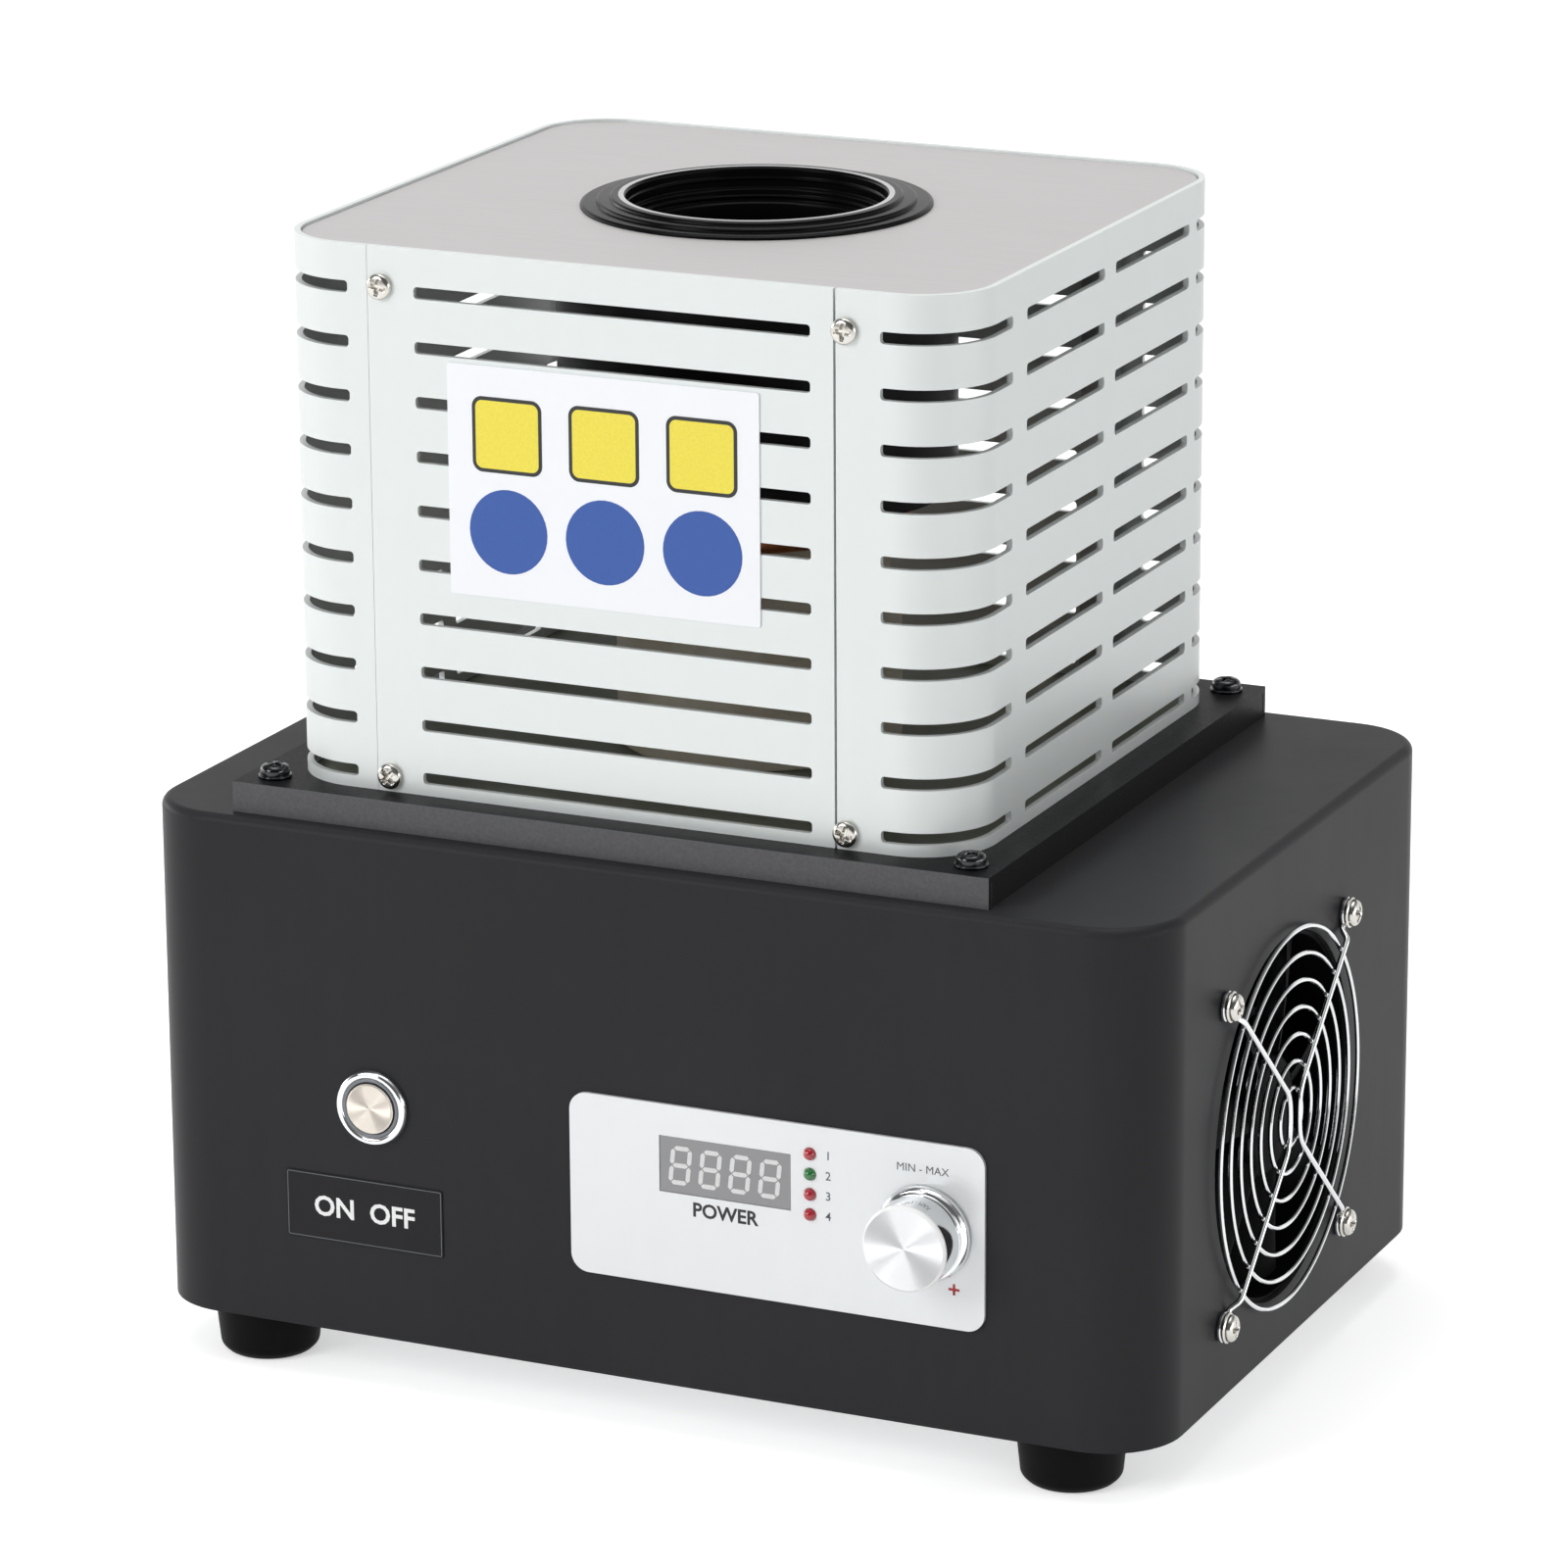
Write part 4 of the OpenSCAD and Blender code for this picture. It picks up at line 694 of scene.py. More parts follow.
@dataclass(frozen=True)
class Heated(Finish):
    """Copper or brass that has been hot: bare metal with patches of darker oxide."""

    oxide: str
    patches: float

    def sockets(self, g: Graph) -> Sockets:
        """Builds the nodes."""
        point = g.object_point()
        patch = g.noise(point, 45.0, 5.0, 0.65)
        share = g.span(patch, 0.42, 0.68, 0.0, self.patches)
        return dict(
            Base_Color=g.blend(share, self.colour, srgb(self.oxide)),
            Metallic=0.9,
            Roughness=g.span(patch, 0.35, 0.65, self.roughness, self.roughness + 0.25),
            Normal=g.bump(g.noise(point, 900.0, 3.0), 0.00001),
        )


@dataclass(frozen=True)
class Mineral(Finish):
    """Brick, ceramic or graphite: grains and pores from a Voronoi and a noise texture."""

    speck: str
    grains: float = 700.0
    depth: float = 0.00025

    def sockets(self, g: Graph) -> Sockets:
        """Builds the nodes."""
        point, speck = g.object_point(), srgb(self.speck)
        pores = g.span(g.cells(point, self.grains), 0.0, 0.45)
        soot = g.noise(point, 22.0, 5.0, 0.6)
        colour = g.blend(g.span(soot, 0.4, 0.75, 0.0, 0.5), self.colour, speck)
        return dict(
            Base_Color=g.blend(g.span(pores, 0.0, 0.4, 0.35, 0.0), colour, speck),
            Roughness=self.roughness,
            Normal=g.bump(pores, self.depth, 0.5, g.bump(soot, 0.0006, 0.5)),
        )


@dataclass(frozen=True)
class Board(Finish):
    """Circuit board: solder mask over copper tracks, drawn by cell edges, with tinned pads."""

    track: Colour = (0.035, 0.2, 0.09)
    tin: Colour = (0.5, 0.51, 0.5)

    def sockets(self, g: Graph) -> Sockets:
        """Builds the nodes."""
        point = g.object_point()
        tracks = g.span(g.cells(point, 180.0, "DISTANCE_TO_EDGE"), 0.02, 0.09, 1.0, 0.0)
        pads = g.span(g.cells(point, 260.0), 0.14, 0.2, 1.0, 0.0)
        return dict(
            Base_Color=g.blend(pads, g.blend(tracks, self.colour, self.track), self.tin),
            Roughness=self.roughness,
            Coat_Weight=0.4,
            Normal=g.bump(tracks, 0.00004),
        )


@dataclass(frozen=True)
class Lens(Finish):
    """Coloured lamp: dyed plastic with a clear coat and a soft inner glow."""

    glow: float = 0.06

    def sockets(self, g: Graph) -> Sockets:
        """Builds the nodes."""
        return dict(
            Base_Color=g.shades(g.noise(g.object_point(), 400.0), self.colour, 0.85, 1.1),
            Roughness=self.roughness,
            Coat_Weight=0.8,
            Coat_Roughness=0.04,
            Emission_Color=self.colour,
            Emission_Strength=self.glow,
        )


@dataclass(frozen=True)
class Ink(Finish):
    """Printed or filled marks: flat colour, a little uneven where the ink lies thinner."""

    def sockets(self, g: Graph) -> Sockets:
        """Builds the nodes."""
        thin = g.span(g.noise(g.object_point(), 1400.0, 3.0, 0.7), 0.3, 0.7)
        return dict(Base_Color=g.shades(thin, self.colour, 0.93, 1.05), Roughness=self.roughness)


@dataclass(frozen=True)
class Floor(Finish):
    """The white floor, lifted a little where it is seen, so that it ends in white."""

    white: float = 0.88
    lift: float = 0.5

    def sockets(self, g: Graph) -> Sockets:
        """Builds the nodes."""
        ray = g.node("ShaderNodeLightPath").outputs
        seen = g.math("MAXIMUM", ray["Is Camera Ray"], ray["Is Glossy Ray"])
        seen = g.math("MAXIMUM", seen, ray["Is Transmission Ray"])
        return dict(
            Base_Color=(self.white,) * 3,
            Roughness=self.roughness,
            Specular_IOR_Level=0.1,
            Emission_Color=(1.0, 1.0, 1.0),
            Emission_Strength=g.math("MULTIPLY", seen, self.lift),
        )


class Finishes:
    """Every finish on the furnace."""

    POWDER = Coat(
        "black powder coat", "303032", 0.4, grain=1500, depth=0.000018, mottle=0.05, specular=0.07
    )
    # The tray's lighter flanges and the pale patch inside the cage are painted light.
    TRAY = TrayCoat("black textured coat", "171719", 0.45, flange="5a5a5c", dust="979a8c")
    SILVER = Coat(
        "silver cage paint", "e1e6e5", 0.36, grain=2600, depth=0.000006, mottle=0.012, metallic=0.18
    )
    # Lighter paint on the cage's rounded edges: a painted highlight.
    SILVER_EDGE_HIGHLIGHT = Coat(
        "silver cage paint lightened on edges as a highlight", "eef1f0", 0.28, grain=2600, depth=0.000004, metallic=0.2
    )
    PLATE = Brushed(
        "brushed top plate", "c6c3c3", 0.42, stretch=(0.03, 1, 1), streak=0.03, metallic=0.3
    )
    ZINC = Brushed("zinc-plated steel", "b2b4b6", 0.38, stretch=(1, 1, 0.05))
    ALUMINIUM = Brushed("drawn aluminium", "c3c6c8", 0.34, stretch=(1, 0.04, 1))
    NICKEL = Plated("nickel plate", "cfccc6", 0.16)
    CHROME = Plated("bright chrome", "eceeef", 0.07)
    WIRE = Plated("chromed wire", "e2e4e5", 0.13)
    BLACK_SCREW = Plated("black nickel plate", "434446", 0.14)
    GLOSS_BLACK = Coat(
        "glossy black collar", "0a0a0b", 0.24, grain=600, depth=0.00001, specular=0.06
    )
    # A silver band on the black collar's lip: a painted highlight.
    LIP_PAINTED_HIGHLIGHT = Plated("lip painted as a highlight", "c6c6c8", 0.2)
    BLACK_PLASTIC = Coat(
        "black moulded plastic", "101113", 0.46, grain=1100, depth=0.00004, specular=0.12
    )
    BARREL = Coat("black barrel", "0c0c0d", 0.36, grain=700, depth=0.00002, specular=0.25)
    ROTOR = Coat("black fan blades", "0b0b0c", 0.45, grain=1500, depth=0.00001, specular=0.02)
    FAN_FRAME = Coat("black fan frame", "0c0c0d", 0.5, grain=1200, depth=0.00002, specular=0.03)
    RUBBER = Coat(
        "black rubber", "0d0d0e", 0.55, grain=800, depth=0.00007, mottle=0.15, specular=0.07
    )
    WHITE_PLATE = Coat(
        "white plate", "f4f6fa", 0.3, grain=2400, depth=0.000004, mottle=0.01, clear=0.2
    )
    FACEPLATE = Coat(
        "white faceplate", "e6e8ea", 0.3, grain=2400, depth=0.000005, mottle=0.015, metallic=0.2
    )
    # White on the faceplate's rounded edges and the knob's chamfer: a painted highlight.
    FACE_EDGE_HIGHLIGHT = Coat(
        "white faceplate edge as a painted highlight", "ffffff", 0.15, grain=2400, depth=0.000002, mottle=0.01
    )
    SIGN = Coat("black sign plate", "252527", 0.4, grain=1700, depth=0.000006, specular=0.12)
    WINDOW = Coat(
        "grey display window", "8b8b8d", 0.2, grain=900, depth=0.000003, mottle=0.02, clear=0.5
    )
    SEGMENT = Ink("display segments", "dedede", 0.35)
    WHITE_INK = Ink("white print", "f2f2f2", 0.45)
    GREY_INK = Ink("grey print", "5d6064", 0.5)
    BLACK_INK = Ink("black print", "232426", 0.45)
    RED_INK = Ink("red print", "b4232b", 0.45)
    YELLOW_INK = Ink("yellow print", "f1e04c", 0.4)
    BLUE_INK = Ink("blue print", "2f57a6", 0.4)
    RED_LAMP = Lens("red lamp", "a81424", 0.12)
    GREEN_LAMP = Lens("green lamp", "177232", 0.12)
    RING_GREY = Coat("grey light ring", "6f7479", 0.35, grain=1400, depth=0.00001, clear=0.3)
    SPUN_KNOB = Turned("spun knob face", "f0f1f3", 0.46)
    SPUN_CAP = Turned("spun button cap", "eae2d8", 0.46)
    BRASS = Heated("yellow brass", "c9a650", 0.28, oxide="7c5a22", patches=0.4)
    COPPER = Heated("copper tube", "c47a4e", 0.26, oxide="5b2c1c", patches=0.7)
    GRAPHITE = Mineral(
        "graphite crucible", "232427", 0.5, speck="0f0f10", grains=900, depth=0.00012
    )
    REFRACTORY = Mineral("white refractory", "e4dccb", 0.85, speck="b59f80")
    FIBRE = Coat("red fibre bush", "8e2f22", 0.55, grain=700, depth=0.00006, mottle=0.15)
    BOARD = Board("green circuit board", "14532f", 0.35)
    MODULE = Coat("power module case", "333538", 0.5, grain=900, depth=0.00005)
    CAPACITOR = Coat("blue capacitor case", "2b5a94", 0.3, grain=1200, depth=0.00002, clear=0.3)
    CORE = Mineral("ferrite core", "2f3135", 0.6, speck="17181a", grains=1500, depth=0.00005)
    RADIATOR = Coat("black radiator", "131416", 0.5, grain=900, depth=0.00005, specular=0.08)
    TANK = Coat("milky tank", "dfe4e4", 0.4, grain=700, depth=0.00003, mottle=0.04)
    ROCKER = Coat("red rocker", "b3261f", 0.25, grain=1200, depth=0.00001, clear=0.3)
    FLOOR = Floor("white floor", "f1f1f1", 0.9)


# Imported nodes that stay


@dataclass(frozen=True)
class Dressing:
    """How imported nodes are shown: their finish, and how far their cut edges are rounded, in mm."""

    finish: Finish
    edge: float
    nodes: tuple[str, ...]
    painted_edge_highlight: Finish | None = None

    def apply(self, packed: dict[str, bpy.types.Object]) -> None:
        """Gives each node its materials and its modifiers.

        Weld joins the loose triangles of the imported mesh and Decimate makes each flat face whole
        again. Bevel rounds the edges that are sharper than 30 degrees, and Weighted Normal keeps
        the flat faces flat in the shading. A node that keeps its edges has them split instead, so
        that only its curves look smooth.

        Args:
            packed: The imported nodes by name.
        """
        sharp = math.radians(30)
        for node in self.nodes:
            mesh, modifiers = packed[node].data, packed[node].modifiers
            mesh.materials.clear()
            mesh.materials.append(self.finish.make())
            mesh.polygons.foreach_set("use_smooth", np.ones(len(mesh.polygons), bool))
            modifiers.new("weld", "WELD").merge_threshold = 10 * SAME_POINT
            flat = modifiers.new("whole flat faces", "DECIMATE")
            flat.decimate_type, flat.angle_limit = "DISSOLVE", math.radians(0.4)
            if not self.edge:
                modifiers.new("crisp edges", "EDGE_SPLIT").split_angle = sharp
                continue
            bevel = modifiers.new("rounded edges", "BEVEL")
            bevel.width, bevel.segments, bevel.limit_method = self.edge * MM, 2, "ANGLE"
            bevel.angle_limit, bevel.use_clamp_overlap = sharp, True
            # The lighter edge finish paints a highlight on the rounded edges.
            if self.painted_edge_highlight is not None:
                mesh.materials.append(self.painted_edge_highlight.make())
                bevel.material = 1
            modifiers.new("flat faces", "WEIGHTED_NORMAL")


F = Finishes

DRESSINGS: tuple[Dressing, ...] = (
    Dressing(F.POWDER, 0.5, ("base_shell",)),
    Dressing(F.ZINC, 0.3, ("bottom_plate",)),
    Dressing(F.POWDER, 0.3, ("rear_panel",)),
    Dressing(F.BLACK_PLASTIC, 0.4, ("power_inlet", "mains_switch_frame")),
    Dressing(F.ROCKER, 0.5, ("mains_rocker",)),
    Dressing(F.BLACK_PLASTIC, 0.5, ("filler_neck",)),
    Dressing(F.TRAY, 0.6, ("mounting_tray",)),
    Dressing(F.SILVER, 0.3, ("cage_shell", "cage_front_panel"), F.SILVER_EDGE_HIGHLIGHT),
    Dressing(F.PLATE, 0.3, ("cage_top_plate",)),
    Dressing(F.ZINC, 0, ("cage_posts", "board_standoffs", "foot_screws")),
    Dressing(F.WHITE_PLATE, 0.2, ("cage_label_plate",)),
    Dressing(F.REFRACTORY, 0.8, ("base_brick",)),
    Dressing(F.FIBRE, 0.3, ("coil_bushes",)),
    Dressing(F.BRASS, 0.6, ("coil_terminals",)),
    Dressing(F.FACEPLATE, 0.45, ("control_faceplate",), F.FACE_EDGE_HIGHLIGHT),
    Dressing(F.WINDOW, 0.2, ("display_window",)),
    Dressing(F.BLACK_PLASTIC, 0.3, ("display_module", "button_switch_body")),
    Dressing(F.BOARD, 0, ("control_board", "inverter_board")),
    Dressing(F.ZINC, 0.2, ("potentiometer",)),
    Dressing(F.NICKEL, 0.3, ("panel_nuts",)),
    Dressing(F.SIGN, 0.1, ("switch_label_plate",)),
    Dressing(F.FAN_FRAME, 0.4, ("right_fan_frame", "left_fan_frame")),
    Dressing(F.ALUMINIUM, 0.3, ("heat_sink",)),
    Dressing(F.MODULE, 0.6, ("power_modules",)),
    Dressing(F.CAPACITOR, 1, ("resonant_capacitors",)),
    Dressing(F.CORE, 0.8, ("output_transformer",)),
    Dressing(F.RADIATOR, 0.4, ("radiator",)),
    Dressing(F.TANK, 0.8, ("water_tank",)),
    Dressing(F.BLACK_PLASTIC, 0.8, ("water_pump",)),
    Dressing(F.COPPER, 0, ("coolant_pipes",)),
    Dressing(F.BLACK_SCREW, 0, ("case_screws",)),
    Dressing(F.BRASS, 0, ("knob_shaft",)),
)


def piece(made: bpy.types.Object, body: str, *nodes: str, slot: str | None = None) -> None:
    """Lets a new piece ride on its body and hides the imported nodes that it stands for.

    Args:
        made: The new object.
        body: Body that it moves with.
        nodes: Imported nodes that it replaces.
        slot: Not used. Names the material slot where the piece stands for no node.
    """
    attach(made, body)
    if nodes:
        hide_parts(*nodes)
    LOG.info("%s: %d faces, rides on %s", made.name, len(made.data.polygons), body)


# Turned pieces


@dataclass(frozen=True)
class TurnedPiece:
    """A body of revolution: a profile with softened corners, turned round an axis.

    Its profile is in millimetres, as a radius and a height for each corner. A hollow one is closed,
    and goes round a wall.
    """

    side: Side
    profile: Profile
    soft: float
    steps: int
    hollow: bool = False

    def add_to(self, mesh: Mesh, origin: Sequence[float], slot: int = 0) -> Mesh:
        """Adds the surface to a mesh.

        Args:
            mesh: The mesh that takes it.
            origin: Where the axis starts.
            slot: Material slot.

        Returns:
            The same mesh.
        """
        corners = np.array(self.profile) * MM
        line = softened(corners, self.soft, closed=self.hollow)
        grid = self.side.place(revolved(line, self.steps), origin)
        return mesh.grid(grid, wrap_rows=self.hollow, slot=slot)

    def build(
        self, name: str, origin: Sequence[float], finish: Finish, body: str, node: str
    ) -> None:
        """Makes a piece of its own of the surface.

        Args:
            name: Name of the piece.
            origin: Where the axis starts.
            finish: Its finish.
            body: Body that it moves with.
            node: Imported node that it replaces.
        """
        piece(self.add_to(Mesh(), origin).build(name, finish), body, node)


@dataclass(frozen=True)
class Screw:
    """A pan-head screw with a cross recess, on a plain stem, and its washer or flange if any.

    The radius and the height are the head's in metres. The profiles of the stem and of what lies
    under the head are in millimetres, as for every turned piece.
    """

    radius: float
    height: float
    stem: Profile
    under: Profile = ()
    soft: float = 0.0002

    def add_to(self, mesh: Mesh, side: Side, place: Array, rng: np.random.Generator) -> None:
        """Adds the screw to a mesh.

        Args:
            mesh: The mesh that takes it.
            side: The way that it looks.
            place: Where its head sits.
            rng: Gives the cross its angle.
        """
        mesh.grid(side.place(pan_head(self.radius, self.height, rng.uniform(0, TAU)), place))
        TurnedPiece(side, self.stem, 0.0002, 24).add_to(mesh, place)
        if self.under:
            TurnedPiece(side, self.under, self.soft, 48, True).add_to(mesh, place)


@dataclass(frozen=True)
class StackScrews:
    """The screws that hold the cage, nickel ones, and the tray, black ones."""

    x: float = STACK_X
    cage_x: float = 0.0785
    cage_heights: tuple[float, float] = (0.2002, 0.3574)
    face: float = 0.107
    tray_x: float = 0.12
    tray_height: float = 0.196
    in_cage: Screw = Screw(0.0042, 0.0026, ((0, -9), (1.9, -9), (1.9, 0)))
    in_tray: Screw = Screw(
        0.0047,
        0.0034,
        ((0, -12), (1.9, -12), (1.9, 0)),
        ((2.6, -1), (5.4, -1), (5.4, 0), (2.6, 0)),
        0.0003,
    )

    def build(self, rng: np.random.Generator) -> None:
        """Makes both kinds, each as one piece."""
        cage, tray = Mesh(), Mesh()
        for x in (self.x - self.cage_x, self.x + self.cage_x):
            for z in self.cage_heights:
                for side, y in ((Side.FRONT, -self.face), (Side.BACK, self.face)):
                    self.in_cage.add_to(cage, side, (x, y, z), rng)
        piece(cage.build("cage_pan_screws", F.NICKEL), "cabinet", "cage_screws")
        for x in (self.x - self.tray_x, self.x + self.tray_x):
            for y in (-self.face, self.face):
                self.in_tray.add_to(tray, Side.TOP, (x, y, self.tray_height), rng)
        piece(tray.build("tray_pan_screws", F.BLACK_SCREW), "cabinet", "tray_screws")


# The furnace's parts


@dataclass
class Feet:
    """Four tapered rubber feet with a recess for their screw."""

    x: float = 0.141
    y: float = 0.104
    profile: Profile = (
        (2.6, 9.35), (7.0, 9.35), (7.0, 0.0), (13.6, 0.0), (16.0, 2.4), (17.5, 17.0), (2.6, 17.0),
    )

    def build(self) -> None:
        """Makes the feet as one piece."""
        mesh = Mesh()
        foot = TurnedPiece(Side.TOP, self.profile, 0.0012, 80, True)
        for y in (-self.y, self.y):
            for x in (-self.x, self.x):
                foot.add_to(mesh, (x, y, 0.0))
        piece(mesh.build("moulded_feet", F.RUBBER), "cabinet", "rubber_feet")


@dataclass
class Head:
    """What stands in the cage: collar, barrel, refractory tube, coil and crucible."""

    x: float = STACK_X
    plate_top: float = 0.3692
    brick_top: float = 0.245
    crucible_foot: float = 0.2573
    coil_radius: float = 0.047
    coil_tube: float = 0.004
    turns: int = 7
    tail_radius: float = 0.056
    tail_angle: float = 17.0
    coil_foot: float = 0.265
    tail_foot: float = 0.171

    def collar(self) -> None:
        """Makes the glossy collar: three steps, a silver lip as painted highlight, rings inside its
        mouth.
        """
        profile = (
            (56, 0), (56, 0.8), (55, 1.3), (50.9, 1.3), (50.75, 2.2), (50.2, 2.5), (46.7, 2.5),
            (46.5, 3.2), (45.9, 3.6), (42.3, 3.6), (41.5, 2.8), (41.5, 0.4), (41.0, -0.2),
            (41.5, -0.8), (41.5, -3.0), (40.3, -3.6), (40.3, -5.2), (39.7, -5.8), (40.3, -6.4),
            (40.3, -7.2), (39, -8), (39, -14), (47.5, -14), (47.5, 0),
        )
        at = (self.x, 0, self.plate_top)
        mesh = TurnedPiece(Side.TOP, profile, 0.00028, 160, True).add_to(Mesh(), at)
        # The silver band on the lip is a painted highlight.
        lip = ((42.1, 3.55), (42.4, 3.63), (43.7, 3.63), (44.0, 3.55))
        TurnedPiece(Side.TOP, lip, 0.0001, 160).add_to(mesh, at, 1)
        piece(mesh.build("stepped_collar", F.GLOSS_BLACK, F.LIP_PAINTED_HIGHLIGHT), "cabinet", "collar_ring")

    def barrel(self) -> None:
        """Makes the black barrel that hangs under the top plate."""
        profile = ((47.7, 0), (47.7, -3), (61, -3), (61, -88), (64, -88), (64, 0))
        wall = TurnedPiece(Side.TOP, profile, 0.0005, 128, True)
        place = (self.x, 0, self.plate_top - 0.002)
        wall.build("hanging_barrel", place, F.BARREL, "cabinet", "coil_barrel")

    def refractory(self) -> None:
        """Makes the white tube between the coil and the crucible."""
        profile = ((38, 0), (42, 0), (42, 109), (38, 109))
        wall = TurnedPiece(Side.TOP, profile, 0.0008, 96, True)
        place = (self.x, 0, self.brick_top)
        wall.build("fired_tube", place, F.REFRACTORY, "cabinet", "refractory_tube")

    def crucible(self) -> None:
        """Makes the crucible: tapered outside, round at the bottom of its cup."""
        profile = (
            (0, 0), (29, 0), (32, 3), (36, 90.5), (34.5, 92), (29.5, 92), (28, 90.5), (24, 16),
            (21, 11.6), (16, 10), (0, 10),
        )
        cup = TurnedPiece(Side.TOP, profile, 0.0016, 128)
        place = (self.x, 0, self.crucible_foot)
        cup.build("turned_crucible", place, F.GRAPHITE, "crucible", "crucible")

    def coil_path(self) -> tuple[Array, Array]:
        """Works out the coil's middle line.

        Each point is at a radius, an angle and a height. The lower tail rises straight, then moves
        in along a quarter of a cosine while it rises. The turns climb one pitch a turn. The upper
        end moves out along a quarter of a sine while it bends down, and runs straight down.

        Returns:
            The points, and at each the direction away from the furnace's axis.
        """
        bend = self.tail_radius - self.coil_radius
        first = 90 + self.tail_angle
        last = first + 360 * self.turns - 2 * self.tail_angle
        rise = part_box("induction_coil")[1].z - self.coil_tube - self.coil_foot
        k = np.linspace(0, 5, 16)
        swing = np.radians(18 * k)
        turn = np.linspace(first + 10.5, last - 10.5, 48 * self.turns)
        tail = [self.tail_radius] * 2
        radius = np.concatenate([
            tail, self.tail_radius - bend * (1 - np.cos(swing)), 0 * turn + self.coil_radius,
            self.coil_radius + bend * np.sin(swing), tail,
        ])
        angle = np.concatenate([[first] * 2, first + 2 * k, turn, last - 10 + 2 * k, [last] * 2])
        height = self.coil_foot + np.concatenate([
            [self.tail_foot - self.coil_foot, -3.2 * bend], -bend * (2.2 - 0.44 * k),
            rise * (turn - first) / (last - first), rise - bend * (1 - np.cos(swing)),
            [rise - 2 * bend, self.tail_foot - self.coil_foot],
        ])
        angle = np.radians(angle)
        return polar(radius, angle, height) + [self.x, 0, 0], polar(1.0, angle)

    def coil(self) -> None:
        """Makes the copper coil, one round tube from tail to tail."""
        path, outward = self.coil_path()
        mesh = Mesh().grid(tube(path, self.coil_tube, 20, outward), caps=True)
        piece(mesh.build("wound_coil", F.COPPER), "cabinet", "induction_coil")

    def build(self) -> None:
        """Makes all of it."""
        self.collar()
        self.barrel()
        self.refractory()
        self.crucible()
        self.coil()


@dataclass
class LabelPrint:
    """Plain printed fields on the white plate of the cage: squares in a row over discs in a row."""

    spacing: float = 0.0331
    square: float = 0.0215
    outline: float = 0.0012
    disc: float = 0.0134
    rise: float = 0.0152
    shift: float = 0.0006
    corner: float = 0.0023
    rim_corner: float = 0.0034
    thickness: float = 0.00006

    def field(
        self, mesh: Mesh, at: Sequence[float], width: float, radius: float, lift: float, slot: int
    ) -> None:
        """Adds one flat field with round corners: its outline is stacked twice and closed on top.

        Args:
            mesh: The mesh that takes it.
            at: Middle of the field on the plate's face.
            width: Size of the field.
            radius: Corner radius.
            lift: How far its face stands in front of the plate.
            slot: Material slot.
        """
        grid = stacked_outlines(width, width, radius, np.array([[0.0, 0.0], [0.0, lift]]), 10)
        mesh.grid(Side.FRONT.place(grid, at), caps=True, slot=slot)

    def build(self) -> None:
        """Makes the print as one piece with its three inks."""
        centre, mesh = front("cage_label_plate"), Mesh()
        for i in (-1, 0, 1):
            across = self.shift + i * self.spacing
            upper, lower = centre + [across, 0, self.rise], centre + [across, 0, -self.rise]
            rim = self.square + 2 * self.outline
            self.field(mesh, upper, rim, self.rim_corner, self.thickness, 0)
            self.field(mesh, upper, self.square, self.corner, 1.6 * self.thickness, 1)
            self.field(mesh, lower, 2 * self.disc, self.disc - 1e-5, self.thickness, 2)
        made = mesh.build("cage_label_print", F.BLACK_INK, F.YELLOW_INK, F.BLUE_INK)
        piece(made, "cabinet", slot="white_plate")


@dataclass
class Display:
    """Four seven-segment digits that stand faintly in the grey window."""

    digit_w: float = 0.0073
    digit_h: float = 0.0128
    pitch: float = 0.0102
    stroke: float = 0.0015
    slant: float = 0.1
    lift: float = 0.00006

    def segments(self) -> Array:
        """Works out the seven bars of one digit.

        A bar is a hexagon along its own axis. Level bars lie at the top, the middle and the foot,
        and upright ones between them. A shear by the slant leans the digit over.

        Returns:
            An array of seven hexagons with the digit's middle at zero.
        """
        half, s = self.stroke / 2, self.stroke
        long_u, long_v = self.digit_w - s, (self.digit_h - s) / 2
        gap = 0.16 * s

        def bar(length: float) -> Array:
            """Returns a level bar about zero."""
            reach = length / 2 - gap
            return np.array([
                [-reach, 0], [-reach + half, -half], [reach - half, -half],
                [reach, 0], [reach - half, half], [-reach + half, half],
            ])

        level = [bar(long_u) + [0, v * long_v] for v in (-1, 0, 1)]
        stroke = bar(long_v)[::-1, ::-1]
        upright = [
            stroke + [u * long_u / 2, v * long_v / 2] for u in (-1, 1) for v in (-1, 1)
        ]
        shapes = np.array(level + upright)
        shapes[..., 0] += self.slant * shapes[..., 1]
        return shapes

    def build(self) -> None:
        """Makes the four digits as one piece."""
        shapes, mesh = self.segments(), Mesh()
        for i in range(4):
            flat = shapes + [(i - 1.5) * self.pitch, 0.0]
            face = np.concatenate([flat, np.full((*flat.shape[:2], 1), self.lift)], axis=-1)
            for hexagon in Side.FRONT.place(face, front("display_window")):
                mesh.polygon(hexagon)
        piece(mesh.build("display_digits", F.SEGMENT), "cabinet", slot="display_grey")


